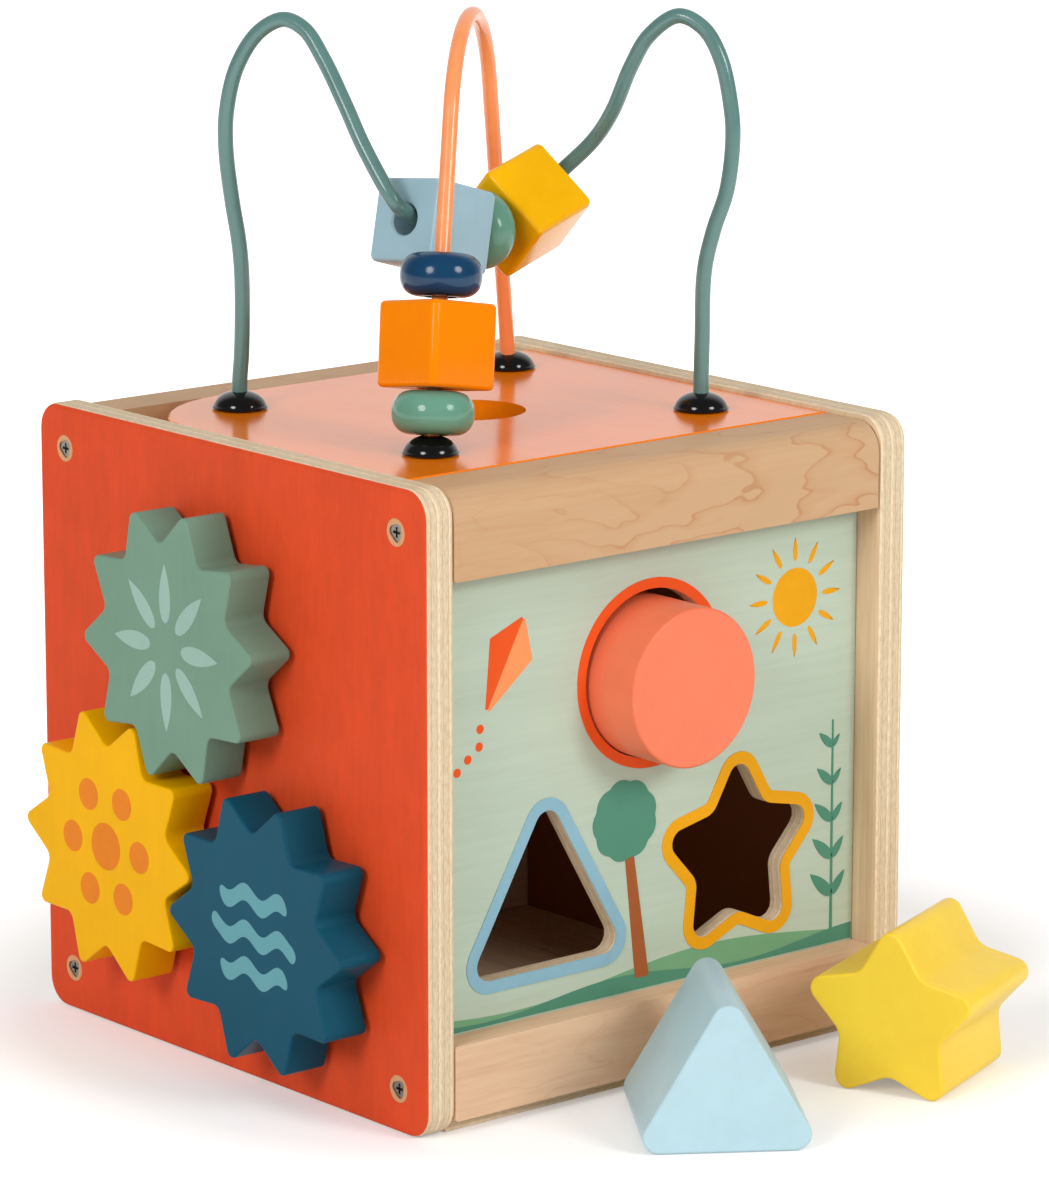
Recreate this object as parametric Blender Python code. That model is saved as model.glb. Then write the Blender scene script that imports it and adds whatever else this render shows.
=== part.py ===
"""Wooden activity cube: a shape sorter front, a side of meshing gears and a lift-off lid with a bead maze.

Units are metres. +Z is up, the sorter front faces -Y and the gear side faces -X. The origin is the middle of
the underside. The loose triangle and star blocks stand on the floor in front of the cube.
"""

import math

import bmesh
import bpy
from mathutils import Matrix, Vector

# Driving dimensions of the box
WIDTH = 0.176
DEPTH = 0.177
HEIGHT = 0.180
PLY = 0.010
PANEL_CORNER = 0.008
PANEL_EDGE = 0.0013
GAP = 0.0003

# Rails between the side panels
RAIL_TOP = 0.1785
RAIL_LOW = 0.1543
FOOT_RAIL_TOP = 0.0252
FOOT_RAIL_LOW = 0.0040
RAIL_BODY = 0.0220
LID_LEDGE = 0.0080
RAIL_EDGE = 0.0010

# Thin panels in the rails' grooves
THIN_PLY = 0.0050
PANEL_SETBACK = 0.00925
GROOVE_DEPTH = 0.0050
BOARD_THICK = 0.0037
BOARD_INSET = 0.0050

# Sorter holes, as places on the front (x, z)
ROUND_AT = (0.0, 0.1163)
ROUND_HOLE = 0.0240
TRIANGLE_AT = (-0.0378, 0.0547)
TRIANGLE_SIDE = 0.0570
TRIANGLE_CORNER = 0.0045
STAR_AT = (0.0332, 0.0584)
STAR_TIP = 0.0303
STAR_VALLEY = 0.0166
STAR_TIP_ROUND = 0.0040
STAR_VALLEY_ROUND = 0.0060

# Loose blocks
BLOCK_EDGE = 0.0012
CYLINDER_RADIUS = 0.0226
CYLINDER_LENGTH = 0.0450
CYLINDER_FACE_Y = -0.0980
TRIANGLE_BLOCK_SIDE = 0.0528
TRIANGLE_BLOCK_LENGTH = 0.0480
TRIANGLE_BLOCK_AT = (-0.0310, -0.1469)
TRIANGLE_BLOCK_TURN = math.radians(-34.6)
STAR_BLOCK_SCALE = 0.965
STAR_BLOCK_LENGTH = 0.0430
STAR_BLOCK_AT = (0.0374, -0.1374)
STAR_BLOCK_TURN = math.radians(-67.4)

# Side screws
SCREW_INSET = 0.0125
SCREW_HEAD = 0.0036
SCREW_SHANK = 0.0017
SCREW_LENGTH = 0.0300
SCREW_SUNK = 0.0004
SOCKET_SIZE = 0.0030
SOCKET_WIDTH = 0.0008
SOCKET_DEPTH = 0.0010

# Gears, as places on the side (y, z)
GEAR_TEETH = 10
GEAR_TIP = 0.0403
GEAR_VALLEY = 0.0290
GEAR_TIP_ROUND = 0.0016
GEAR_VALLEY_ROUND = 0.0030
GEAR_THICK = 0.0140
GEAR_EDGE = 0.0008
GEAR_STANDOFF = 0.0020
GEAR_DISTANCE = 0.0700
YELLOW_AT = (0.0367, 0.0602)
YELLOW_PHASE = math.radians(1.6)
GREEN_BEARING = math.radians(115.4)
BLUE_BEARING = math.radians(189.4)
AXLE_RADIUS = 0.0030
AXLE_IN_GEAR = 0.0090
AXLE_INSIDE = 0.0045
WASHER_RADIUS = 0.0080
WASHER_THICK = 0.0014
RETAINER_RADIUS = 0.0070
RETAINER_THICK = 0.0030

# Lid
LID_THICK = 0.0060
LID_TOP = 0.1788
LID_HOLE = 0.0160
LID_NOTCH = 0.0390
LID_CENTRE = (0.0010, 0.0010)
LID_EDGE = 0.0006

# Bead maze
WIRE_RADIUS = 0.00225
FEET = {
    "left": (-0.0482, 0.0451),
    "front": (-0.0489, -0.0426),
    "right": (0.0519, -0.0411),
    "back": (0.0527, 0.0459),
}
FOOT_RADIUS = 0.0080
FOOT_HEIGHT = 0.0051
WIRE_TAIL = 0.0105
NUT_RADIUS = 0.0050
NUT_THICK = 0.0025
ARCH_TOP = 0.2919
ARCH_RADIUS = 0.0352
BEAD_CUBE = 0.0240
BEAD_EDGE = 0.0018
CUBE_HOLE = 0.0045
DISC_HOLE = 0.0042
DISC_RADIUS = 0.0115
DISC_THICK = 0.0122
DIP_RADIUS = 0.0630
DIP_LOW = 0.2312
DIP_HALF = math.radians(35)
DIP_BEARING = math.radians(11)
DIP_CENTRE = (0.0030, -0.0004)
DIP_HANG = 0.0003

# Beads on the arch's front leg hang more upright than the leg; each has its middle at a length along it
ARCH_BEAD_SAG = math.radians(7.5)
ARCH_BEADS = {"front_green_disc": 0.0115, "orange_cube": 0.0304, "dark_blue_disc": 0.0502}
ORANGE_CUBE_ROLL = math.radians(3)

# Cubes on the dip lie a little askew on the wire: bearing and slope of the hole, roll about it
LIGHT_BLUE_LIE = (math.radians(7.2), math.radians(-16.6), math.radians(-5.3))
YELLOW_LIE = (math.radians(8.8), math.radians(15.7), math.radians(46))

# Loops of the green wire, from a foot up, over and down to the dip, as steps from that foot:
# towards the other foot, sideways, up
LEFT_LOOP = (
    (0.0000, 0.0000, 0.0080),
    (0.0006, 0.0000, 0.0160),
    (0.0010, 0.0000, 0.0310),
    (0.0008, 0.0000, 0.0415),
    (0.0001, 0.0000, 0.0492),
    (-0.0016, 0.0000, 0.0602),
    (-0.0032, 0.0000, 0.0752),
    (-0.0028, -0.0005, 0.0861),
    (0.0005, -0.0020, 0.0990),
    (0.0068, -0.0040, 0.1087),
    (0.0139, -0.0065, 0.1125),
    (0.0199, -0.0095, 0.1101),
    (0.0254, -0.0135, 0.1022),
    (0.0315, -0.0190, 0.0904),
    (0.0373, -0.0240, 0.0783),
)
RIGHT_LOOP = (
    (0.0000, 0.0000, 0.0080),
    (-0.0002, 0.0000, 0.0200),
    (-0.0007, 0.0000, 0.0402),
    (-0.0032, 0.0000, 0.0518),
    (-0.0069, 0.0000, 0.0634),
    (-0.0085, -0.0005, 0.0778),
    (-0.0080, -0.0010, 0.0864),
    (-0.0050, -0.0020, 0.1004),
    (-0.0001, -0.0040, 0.1089),
    (0.0069, -0.0065, 0.1122),
    (0.0152, -0.0105, 0.1062),
    (0.0203, -0.0140, 0.0970),
    (0.0258, -0.0190, 0.0830),
    (0.0313, -0.0245, 0.0739),
)

# Finishes: colour, roughness, metallic
FINISHES = {
    "red_stain": ((0.62, 0.075, 0.025), 0.55, 0.0),
    "plain_ply": ((0.72, 0.52, 0.32), 0.6, 0.0),
    "beech": ((0.60, 0.36, 0.18), 0.5, 0.0),
    "mint_print": ((0.47, 0.53, 0.42), 0.55, 0.0),
    "orange_lacquer": ((0.85, 0.30, 0.10), 0.12, 0.0),
    "green_paint": ((0.16, 0.31, 0.22), 0.4, 0.0),
    "yellow_paint": ((0.85, 0.42, 0.01), 0.4, 0.0),
    "dark_blue_paint": ((0.02, 0.09, 0.15), 0.35, 0.0),
    "light_blue_paint": ((0.33, 0.50, 0.56), 0.4, 0.0),
    "orange_paint": ((0.95, 0.22, 0.0), 0.4, 0.0),
    "coral_paint": ((0.95, 0.22, 0.10), 0.45, 0.0),
    "sky_paint": ((0.50, 0.73, 0.80), 0.45, 0.0),
    "sun_paint": ((0.95, 0.62, 0.04), 0.45, 0.0),
    "black_plastic": ((0.012, 0.010, 0.012), 0.15, 0.0),
    "green_wire_coat": ((0.10, 0.22, 0.18), 0.3, 0.0),
    "orange_wire_coat": ((0.90, 0.20, 0.06), 0.3, 0.0),
    "zinc": ((0.45, 0.44, 0.42), 0.35, 1.0),
    "beech_dowel": ((0.62, 0.42, 0.24), 0.6, 0.0),
    "nylon": ((0.75, 0.74, 0.70), 0.5, 0.0),
}


def clear_scene():
    """Remove whatever the scene holds."""
    for obj in list(bpy.data.objects):
        bpy.data.objects.remove(obj, do_unlink=True)


def finish(name):
    """The named Principled material, made once."""
    if name in bpy.data.materials:
        return bpy.data.materials[name]
    colour, roughness, metallic = FINISHES[name]
    made = bpy.data.materials.new(name)
    made.use_nodes = True
    shader = made.node_tree.nodes["Principled BSDF"]
    shader.inputs["Base Color"].default_value = (*colour, 1.0)
    shader.inputs["Roughness"].default_value = roughness
    shader.inputs["Metallic"].default_value = metallic
    made.diffuse_color = (*colour, 1.0)
    return made


def add_mesh(name, shape, material=None, frame=None, smooth_angle=35.0):
    """Turn a bmesh into a linked object, with its faces out, smooth below the given angle."""
    bmesh.ops.recalc_face_normals(shape, faces=shape.faces)
    mesh = bpy.data.meshes.new(name)
    shape.to_mesh(mesh)
    shape.free()
    mesh.shade_smooth()
    mesh.set_sharp_from_angle(angle=math.radians(smooth_angle))
    obj = bpy.data.objects.new(name, mesh)
    bpy.context.scene.collection.objects.link(obj)
    if material:
        mesh.materials.append(finish(material))
    if frame:
        obj.matrix_world = frame
    return obj


def cut(target, name, shape, frame=None):
    """Cut a bmesh shape out of a target, with a hidden cutter and an exact Boolean."""
    cutter = add_mesh(name, shape, frame=frame)
    cutter.hide_render = True
    cutter.display_type = "WIRE"
    boolean = target.modifiers.new(name, "BOOLEAN")
    boolean.operation = "DIFFERENCE"
    boolean.solver = "EXACT"
    boolean.object = cutter


def frame_along(origin, across, up):
    """A frame whose local X is across, local Y is up and local Z is their cross product."""
    x = Vector(across).normalized()
    y = Vector(up).normalized()
    z = x.cross(y)
    turn = Matrix((x, y, z)).transposed().to_4x4()
    return Matrix.Translation(Vector(origin)) @ turn


def frame_on_axis(origin, axis):
    """A frame whose local Z is the given axis."""
    turn = Vector((0, 0, 1)).rotation_difference(Vector(axis)).to_matrix().to_4x4()
    return Matrix.Translation(Vector(origin)) @ turn


def prism(outline, low, high):
    """A closed outline in local XY carried from low to high along local Z."""
    shape = bmesh.new()
    bottom = [shape.verts.new((u, v, low)) for u, v in outline]
    top = [shape.verts.new((u, v, high)) for u, v in outline]
    shape.faces.new(bottom)
    shape.faces.new(top)
    for i in range(len(outline)):
        j = (i + 1) % len(outline)
        shape.faces.new((bottom[i], bottom[j], top[j], top[i]))
    return shape


def soft_prism(outline, low, high, edge, segments=2):
    """A prism whose rims at both ends are rounded by the given radius."""
    shape = prism(outline, low, high)
    bmesh.ops.recalc_face_normals(shape, faces=shape.faces)
    rims = [e for e in shape.edges if abs(e.verts[0].co.z - e.verts[1].co.z) < 1e-9]
    bmesh.ops.bevel(shape, geom=rims, offset=edge, segments=segments, profile=0.5, affect="EDGES")
    return shape


def block(low, high, edge=0.0, segments=2):
    """A box between two corners, with all its edges rounded if an edge radius is given."""
    shape = bmesh.new()
    bmesh.ops.create_cube(shape, size=1.0)
    size = Vector(high) - Vector(low)
    middle = (Vector(high) + Vector(low)) / 2
    for vert in shape.verts:
        vert.co = Vector((vert.co.x * size.x, vert.co.y * size.y, vert.co.z * size.z)) + middle
    if edge:
        bmesh.ops.bevel(
            shape, geom=list(shape.edges), offset=edge, segments=segments, profile=0.5, affect="EDGES"
        )
    return shape


def turned(profile, steps=32):
    """A profile of (radius, height) points, bottom to top, turned about local Z; radius 0 is a tip."""
    shape = bmesh.new()
    rings = []
    for radius, height in profile:
        if radius == 0:
            rings.append([shape.verts.new((0, 0, height))])
            continue
        angles = [2 * math.pi * i / steps for i in range(steps)]
        places = [(radius * math.cos(a), radius * math.sin(a), height) for a in angles]
        rings.append([shape.verts.new(place) for place in places])
    pairs = list(zip(rings, rings[1:]))
    if len(rings[0]) > 1:
        pairs.append((rings[-1], rings[0]))
    for lower, upper in pairs:
        for i in range(steps):
            j = (i + 1) % steps
            corners = [ring[k % len(ring)] for ring, k in ((lower, i), (lower, j), (upper, j), (upper, i))]
            unique = list(dict.fromkeys(corners))
            shape.faces.new(unique)
    return shape


def arc(centre, radius, start, end, steps):
    """Points of an arc about a centre, both ends included."""
    angles = [start + (end - start) * i / steps for i in range(steps + 1)]
    return [(centre[0] + radius * math.cos(a), centre[1] + radius * math.sin(a)) for a in angles]


def rounded(corners, radii, steps=5):
    """A polygon whose corners are replaced by arcs of the given radii."""
    points = []
    count = len(corners)
    for i in range(count):
        corner = Vector(corners[i])
        to_last = (Vector(corners[i - 1]) - corner).normalized()
        to_next = (Vector(corners[(i + 1) % count]) - corner).normalized()
        half = to_last.angle(to_next) / 2
        centre = corner + (to_last + to_next).normalized() * radii[i] / math.sin(half)
        start = corner + to_last * radii[i] / math.tan(half) - centre
        end = corner + to_next * radii[i] / math.tan(half) - centre
        first = math.atan2(start.y, start.x)
        sweep = (math.atan2(end.y, end.x) - first + math.pi) % (2 * math.pi) - math.pi
        points += arc(centre, radii[i], first, first + sweep, steps)
    return points


def triangle_outline(side):
    """An upright equal-sided triangle with rounded corners about its middle."""
    reach = side / math.sqrt(3)
    angles = [math.radians(degrees) for degrees in (90, 210, 330)]
    corners = [(reach * math.cos(a), reach * math.sin(a)) for a in angles]
    return rounded(corners, [TRIANGLE_CORNER] * 3, steps=6)


def star_outline(scale):
    """An upright five-pointed star with rounded tips and valleys about its middle."""
    corners = []
    radii = []
    for i in range(10):
        is_tip = i % 2 == 0
        reach = (STAR_TIP if is_tip else STAR_VALLEY) * scale
        angle = math.radians(90 + 36 * i)
        corners.append((reach * math.cos(angle), reach * math.sin(angle)))
        radii.append((STAR_TIP_ROUND if is_tip else STAR_VALLEY_ROUND) * scale)
    return rounded(corners, radii, steps=4)


def circle_outline(radius, steps=48):
    """Points of a full circle about the origin."""
    return arc((0, 0), radius, 0, 2 * math.pi * (1 - 1 / steps), steps - 1)


def front_frame(place):
    """A frame with local XY on the front as (x, z) and local Z towards the viewer."""
    return frame_along((place[0], 0, place[1]), (1, 0, 0), (0, 0, 1))


def make_side_panels():
    """Two plywood sides with rounded corners, drilled for screws; the left one also for the gear axles."""
    half = DEPTH / 2
    corners = [(-half, 0), (half, 0), (half, HEIGHT), (-half, HEIGHT)]
    outline = rounded(corners, [PANEL_CORNER] * 4, steps=6)
    for side, name, colour in ((-1, "left_side_panel", "red_stain"), (1, "right_side_panel", "plain_ply")):
        frame = frame_along((side * WIDTH / 2, 0, 0), (0, 1, 0), (0, 0, 1))
        inner = -side * PLY
        panel = add_mesh(name, soft_prism(outline, min(0, inner), max(0, inner), PANEL_EDGE), colour, frame)
        for number, (y, z) in enumerate(screw_places()):
            sink = screw_profile(GAP, SCREW_LENGTH)
            cut(panel, f"{name}_screw_hole_{number}", turned(sink, 16), side_axis_frame(side, y, z))
        if side < 0:
            for gear, (place, _) in gear_places().items():
                bore = AXLE_RADIUS + GAP
                hole = turned([(0, -PLY), (bore, -PLY), (bore, 2 * PLY), (0, 2 * PLY)], 24)
                cut(panel, f"{gear}_axle_hole", hole, side_axis_frame(-1, *place))


def screw_places():
    """Screw centres on a side panel, as (y, z)."""
    y = DEPTH / 2 - SCREW_INSET
    return [(sy * y, z) for sy in (-1, 1) for z in (SCREW_INSET, HEIGHT - SCREW_INSET)]


def side_axis_frame(side, y, z):
    """A frame on the outer face of a side panel, local Z pointing into the box."""
    return frame_on_axis((side * WIDTH / 2, y, z), (-side, 0, 0))


def screw_profile(clearance, length):
    """A countersunk screw's half section; one grown by a clearance runs out past the panel's face."""
    head = SCREW_HEAD + clearance
    shank = SCREW_SHANK + clearance
    cone = head - shank
    start = SCREW_SUNK
    end = start + length
    profile = [(0, start), (head, start), (shank, start + cone), (shank, end), (0, end)]
    if clearance:
        profile = [(0, -PLY), (head, -PLY), (head, start)] + profile[2:]
    return profile


def make_side_screws():
    """Four countersunk cross-head screws through each side panel into the rail ends."""
    for side, label in ((-1, "left"), (1, "right")):
        for number, (y, z) in enumerate(screw_places()):
            frame = side_axis_frame(side, y, z)
            shape = turned(screw_profile(0, SCREW_LENGTH), 16)
            screw = add_mesh(f"{label}_screw_{number + 1}", shape, "zinc", frame)
            for turn, arm in enumerate(("a", "b")):
                half = Vector((SOCKET_SIZE, SOCKET_WIDTH) if turn == 0 else (SOCKET_WIDTH, SOCKET_SIZE)) / 2
                low = (-half.x, -half.y, -SOCKET_DEPTH)
                high = (half.x, half.y, SCREW_SUNK + SOCKET_DEPTH)
                cut(screw, f"{screw.name}_socket_{arm}", block(low, high), frame)


def make_rails():
    """Four rails between the sides; the top ones carry the lid on a ledge, all hold a thin panel."""
    length = WIDTH - 2 * PLY - 2 * GAP
    front = DEPTH / 2
    body = front - RAIL_BODY
    ledge = LID_TOP - LID_THICK - GAP
    radius = PANEL_CORNER
    top_section = [(front, RAIL_LOW)]
    top_section += arc((front - radius, RAIL_TOP - radius), radius, 0, math.pi / 2, 6)
    shelf = body - LID_LEDGE
    top_section += [(body, RAIL_TOP), (body, ledge), (shelf, ledge), (shelf, RAIL_LOW)]
    low, high = FOOT_RAIL_LOW, FOOT_RAIL_TOP
    foot_section = [(front, low), (front, high), (body, high), (body, low)]
    groove_out = front - PANEL_SETBACK + GAP
    groove_in = front - PANEL_SETBACK - THIN_PLY - GAP
    for facing, label in ((-1, "front"), (1, "back")):
        for level, section in (("top", top_section), ("bottom", foot_section)):
            frame = frame_along((0, 0, 0), (0, facing, 0), (0, 0, 1))
            shape = soft_prism(section, -length / 2, length / 2, RAIL_EDGE / 2, 1)
            rail = add_mesh(f"{level}_{label}_rail", shape, "beech", frame)
            if level == "top":
                low, high = RAIL_LOW - GROOVE_DEPTH, RAIL_LOW + GROOVE_DEPTH + GAP
            else:
                low, high = FOOT_RAIL_TOP - GROOVE_DEPTH - GAP, FOOT_RAIL_TOP + GROOVE_DEPTH
            groove = block((groove_in, low, -length), (groove_out, high, length))
            cut(rail, f"{rail.name}_groove", groove, frame)
            for number, (y, z) in enumerate(screw_places()):
                if y * facing < 0 or (z > HEIGHT / 2) != (level == "top"):
                    continue
                for side in (-1, 1):
                    bore = SCREW_SHANK + GAP
                    depth = SCREW_LENGTH + 2 * GAP + SCREW_SUNK
                    pilot = turned([(0, 0), (bore, 0), (bore, depth), (0, depth)], 16)
                    cut(rail, f"{rail.name}_pilot_{number}_{side + 1}", pilot, side_axis_frame(side, y, z))


def make_thin_panels():
    """Sorter front with its three holes, plain back, and the board under the rails."""
    half_width = WIDTH / 2 - PLY - GAP
    low = FOOT_RAIL_TOP - GROOVE_DEPTH
    high = RAIL_LOW + GROOVE_DEPTH
    outer = DEPTH / 2 - PANEL_SETBACK
    inner = outer - THIN_PLY
    front = block((-half_width, -outer, low), (half_width, -inner, high))
    sorter = add_mesh("sorter_panel", front, "mint_print")
    holes = {
        "round": (circle_outline(ROUND_HOLE), ROUND_AT),
        "triangle": (triangle_outline(TRIANGLE_SIDE), TRIANGLE_AT),
        "star": (star_outline(1.0), STAR_AT),
    }
    for name, (outline, place) in holes.items():
        cut(sorter, f"{name}_hole", prism(outline, inner - THIN_PLY, outer + THIN_PLY), front_frame(place))
    add_mesh("back_panel", block((-half_width, inner, low), (half_width, outer, high)), "plain_ply")
    board_y = DEPTH / 2 - BOARD_INSET
    board = block((-half_width, -board_y, 0), (half_width, board_y, BOARD_THICK))
    add_mesh("bottom_board", board, "plain_ply")


def gear_places():
    """Centre (y, z) and tooth phase of each gear; a neighbour's valley faces the idler's tooth."""
    pitch_angle = 2 * math.pi / GEAR_TEETH
    places = {"yellow": (YELLOW_AT, YELLOW_PHASE)}
    for name, bearing in (("green", GREEN_BEARING), ("blue", BLUE_BEARING)):
        centre = (
            YELLOW_AT[0] + GEAR_DISTANCE * math.cos(bearing),
            YELLOW_AT[1] + GEAR_DISTANCE * math.sin(bearing),
        )
        phase = bearing + math.pi + (bearing - YELLOW_PHASE) + pitch_angle / 2
        places[name] = (centre, phase % pitch_angle)
    return places


def gear_outline(phase):
    """Straight-sided teeth with rounded tips and valleys, turned by a phase."""
    corners = []
    radii = []
    for i in range(2 * GEAR_TEETH):
        is_tip = i % 2 == 0
        reach = GEAR_TIP if is_tip else GEAR_VALLEY
        angle = phase + math.pi * i / GEAR_TEETH
        corners.append((reach * math.cos(angle), reach * math.sin(angle)))
        radii.append(GEAR_TIP_ROUND if is_tip else GEAR_VALLEY_ROUND)
    return rounded(corners, radii, steps=4)


def make_gears():
    """Each gear turns with its axle and retainer; a washer keeps it off the panel."""
    colours = {"green": "green_paint", "yellow": "yellow_paint", "blue": "dark_blue_paint"}
    for name, ((y, z), phase) in gear_places().items():
        face = -WIDTH / 2
        axis_frame = frame_along((face, y, z), (0, 1, 0), (0, 0, 1))
        pivot = bpy.data.objects.new(f"{name}_gear_axis", None)
        bpy.context.scene.collection.objects.link(pivot)
        pivot.matrix_world = axis_frame
        back = -GEAR_STANDOFF
        wheel = soft_prism(gear_outline(phase), back - GEAR_THICK, back, GEAR_EDGE, 1)
        gear = add_mesh(f"{name}_gear", wheel, colours[name], axis_frame)
        bore = AXLE_RADIUS + GAP
        depth = back - AXLE_IN_GEAR - GAP
        socket = turned([(0, depth), (bore, depth), (bore, PLY), (0, PLY)], 24)
        cut(gear, f"{name}_gear_bore", socket, axis_frame)
        axle_start = back - AXLE_IN_GEAR
        axle_end = PLY + AXLE_INSIDE
        axle = [(0, axle_start), (AXLE_RADIUS, axle_start), (AXLE_RADIUS, axle_end), (0, axle_end)]
        axle_object = add_mesh(f"{name}_axle", turned(axle, 24), "beech_dowel", axis_frame)
        washer_low = -GAP - WASHER_THICK
        washer = [(bore, washer_low), (WASHER_RADIUS, washer_low), (WASHER_RADIUS, -GAP), (bore, -GAP)]
        washer_object = add_mesh(f"{name}_washer", turned(washer, 24), "nylon", axis_frame)
        start = PLY + GAP
        ring = [(bore, start), (RETAINER_RADIUS, start), (RETAINER_RADIUS, start + RETAINER_THICK),
                (bore, start + RETAINER_THICK)]
        retainer_object = add_mesh(f"{name}_retainer", turned(ring, 24), "nylon", axis_frame)
        for piece in (gear, axle_object, washer_object, retainer_object):
            piece.parent = pivot
            piece.matrix_parent_inverse = axis_frame.inverted()


def make_lid():
    """Lid panel with a finger hole, one cut corner, and bores for the wire ends."""
    half_x = WIDTH / 2 - PLY - GAP
    half_y = DEPTH / 2 - RAIL_BODY - GAP
    corner = (-half_x + LID_NOTCH, half_y - LID_NOTCH)
    outline = [(-half_x, -half_y), (half_x, -half_y), (half_x, half_y)]
    outline += arc(corner, LID_NOTCH, math.pi / 2, math.pi, 8)
    bottom = LID_TOP - LID_THICK
    lid = add_mesh("lid_panel", soft_prism(outline, bottom, LID_TOP, LID_EDGE, 1), "orange_lacquer")
    hole = prism(circle_outline(LID_HOLE, 40), bottom - PLY, LID_TOP + PLY)
    cut(lid, "lid_finger_hole", hole, Matrix.Translation((*LID_CENTRE, 0)))
    for name, (x, y) in FEET.items():
        bore = prism(circle_outline(WIRE_RADIUS + GAP, 16), bottom - PLY, LID_TOP + PLY)
        cut(lid, f"{name}_wire_bore", bore, Matrix.Translation((x, y, 0)))
        add_foot(name, x, y)


def add_foot(name, x, y):
    """A black dome with a bore for the wire, and the push nut on the wire's end under the lid."""
    base = LID_TOP + GAP
    bore = WIRE_RADIUS + GAP
    rise = FOOT_HEIGHT
    reach = math.sqrt(1 - (bore / FOOT_RADIUS) ** 2)
    dome = [(bore, base)]
    for i in range(7):
        lift = rise * reach * i / 6
        dome.append((FOOT_RADIUS * math.sqrt(1 - (lift / rise) ** 2), base + lift))
    foot = add_mesh(f"{name}_wire_foot", turned(dome, 32), "black_plastic", Matrix.Translation((x, y, 0)))
    if name in ("front", "back"):
        lean_bore = prism(circle_outline(bore, 16), 0, 2 * FOOT_HEIGHT)
        cut(foot, f"{name}_lean_bore", lean_bore, arch_frame(name))
    top = LID_TOP - LID_THICK - GAP
    nut = [(bore, top - NUT_THICK), (NUT_RADIUS, top - NUT_THICK), (NUT_RADIUS, top), (bore, top)]
    add_mesh(f"{name}_wire_nut", turned(nut, 16), "zinc", Matrix.Translation((x, y, 0)))


def arch_span():
    """Level step from the front foot to the back foot."""
    return Vector((FEET["back"][0] - FEET["front"][0], FEET["back"][1] - FEET["front"][1], 0))


def arch_lean():
    """Lean of the arch's legs from upright, so that they meet the top arc smoothly."""
    half_span = arch_span().length / 2
    rise = ARCH_TOP - LID_TOP
    # A leg through the foot touches the circle of the top arc, whose centre lies on the middle line
    drop = rise - ARCH_RADIUS
    reach = math.hypot(half_span, drop)
    return math.atan2(half_span, drop) - math.asin(ARCH_RADIUS / reach)


def leaning(lean):
    """Upward direction that leans from the front foot towards the back foot."""
    return arch_span().normalized() * math.sin(lean) + Vector((0, 0, math.cos(lean)))


def arch_leg(name):
    """Upward direction of the arch's leg at the named foot."""
    return leaning(arch_lean() if name == "front" else -arch_lean())


def arch_frame(name):
    """A frame at a foot of the arch with local Z along its leaning leg."""
    return frame_on_axis((*FEET[name], LID_TOP), arch_leg(name))


def arch_path():
    """Centre line of the orange wire: tail, leaning leg, round top, leaning leg, tail."""
    front = Vector((*FEET["front"], LID_TOP))
    back = Vector((*FEET["back"], LID_TOP))
    middle = (front + back) / 2
    lean = arch_lean()
    centre = Vector((middle.x, middle.y, ARCH_TOP - ARCH_RADIUS))
    along = arch_span().normalized()
    path = [front - Vector((0, 0, WIRE_TAIL)), front]
    rise = Vector((0, 0, ARCH_RADIUS * math.sin(lean)))
    leg = (centre - along * ARCH_RADIUS * math.cos(lean) + rise) - front
    path += [front + leg * i / 4 for i in range(1, 4)]
    steps = 20
    for i in range(steps + 1):
        angle = math.pi - lean - (math.pi - 2 * lean) * i / steps
        rise = Vector((0, 0, ARCH_RADIUS * math.sin(angle)))
        path.append(centre + along * ARCH_RADIUS * math.cos(angle) + rise)
    leg = back - path[-1]
    path += [path[-1] + leg * i / 4 for i in range(1, 5)]
    path.append(back - Vector((0, 0, WIRE_TAIL)))
    return path


def dip_direction():
    """Level direction of the green wire where it dips through the middle."""
    return Vector((math.cos(DIP_BEARING), math.sin(DIP_BEARING), 0))


def dip_pivot():
    """Middle of the dip's circle, above its lowest point."""
    return Vector((*DIP_CENTRE, DIP_LOW + DIP_RADIUS))


def dip_point(angle):
    """Point of the dip at an angle from its lowest point, positive to the right."""
    level = dip_direction() * DIP_RADIUS * math.sin(angle)
    return dip_pivot() + level - Vector((0, 0, DIP_RADIUS * math.cos(angle)))


def loop_path():
    """Points of the green wire's centre line: left loop, dip on a circle, right loop."""
    left = Vector((*FEET["left"], LID_TOP))
    right = Vector((*FEET["right"], LID_TOP))
    across = (right - left).normalized()
    away = Vector((-across.y, across.x, 0))
    up = Vector((0, 0, 1))
    points = [left - up * WIRE_TAIL, left]
    points += [left + across * s + away * d + up * z for s, d, z in LEFT_LOOP]
    steps = 12
    points += [dip_point(-DIP_HALF + 2 * DIP_HALF * i / steps) for i in range(steps + 1)]
    points += [right - across * s - away * d + up * z for s, d, z in reversed(RIGHT_LOOP)]
    points += [right, right - up * WIRE_TAIL]
    return points


def smooth_through(points, per_span=3):
    """Catmull-Rom curve through points, with chord-length (centripetal) knots."""
    ends = [2 * points[0] - points[1]] + points + [2 * points[-1] - points[-2]]
    curve = []
    for i in range(1, len(ends) - 2):
        p0, p1, p2, p3 = ends[i - 1 : i + 3]
        t1 = math.sqrt((p1 - p0).length)
        t2 = t1 + math.sqrt((p2 - p1).length)
        t3 = t2 + math.sqrt((p3 - p2).length)
        for k in range(per_span):
            t = t1 + (t2 - t1) * k / per_span
            a1 = p0.lerp(p1, t / t1)
            a2 = p1.lerp(p2, (t - t1) / (t2 - t1))
            a3 = p2.lerp(p3, (t - t2) / (t3 - t2))
            b1 = a1.lerp(a2, t / t2)
            b2 = a2.lerp(a3, (t - t1) / (t3 - t1))
            curve.append(b1.lerp(b2, (t - t1) / (t2 - t1)))
    curve.append(points[-1])
    return curve


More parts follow.
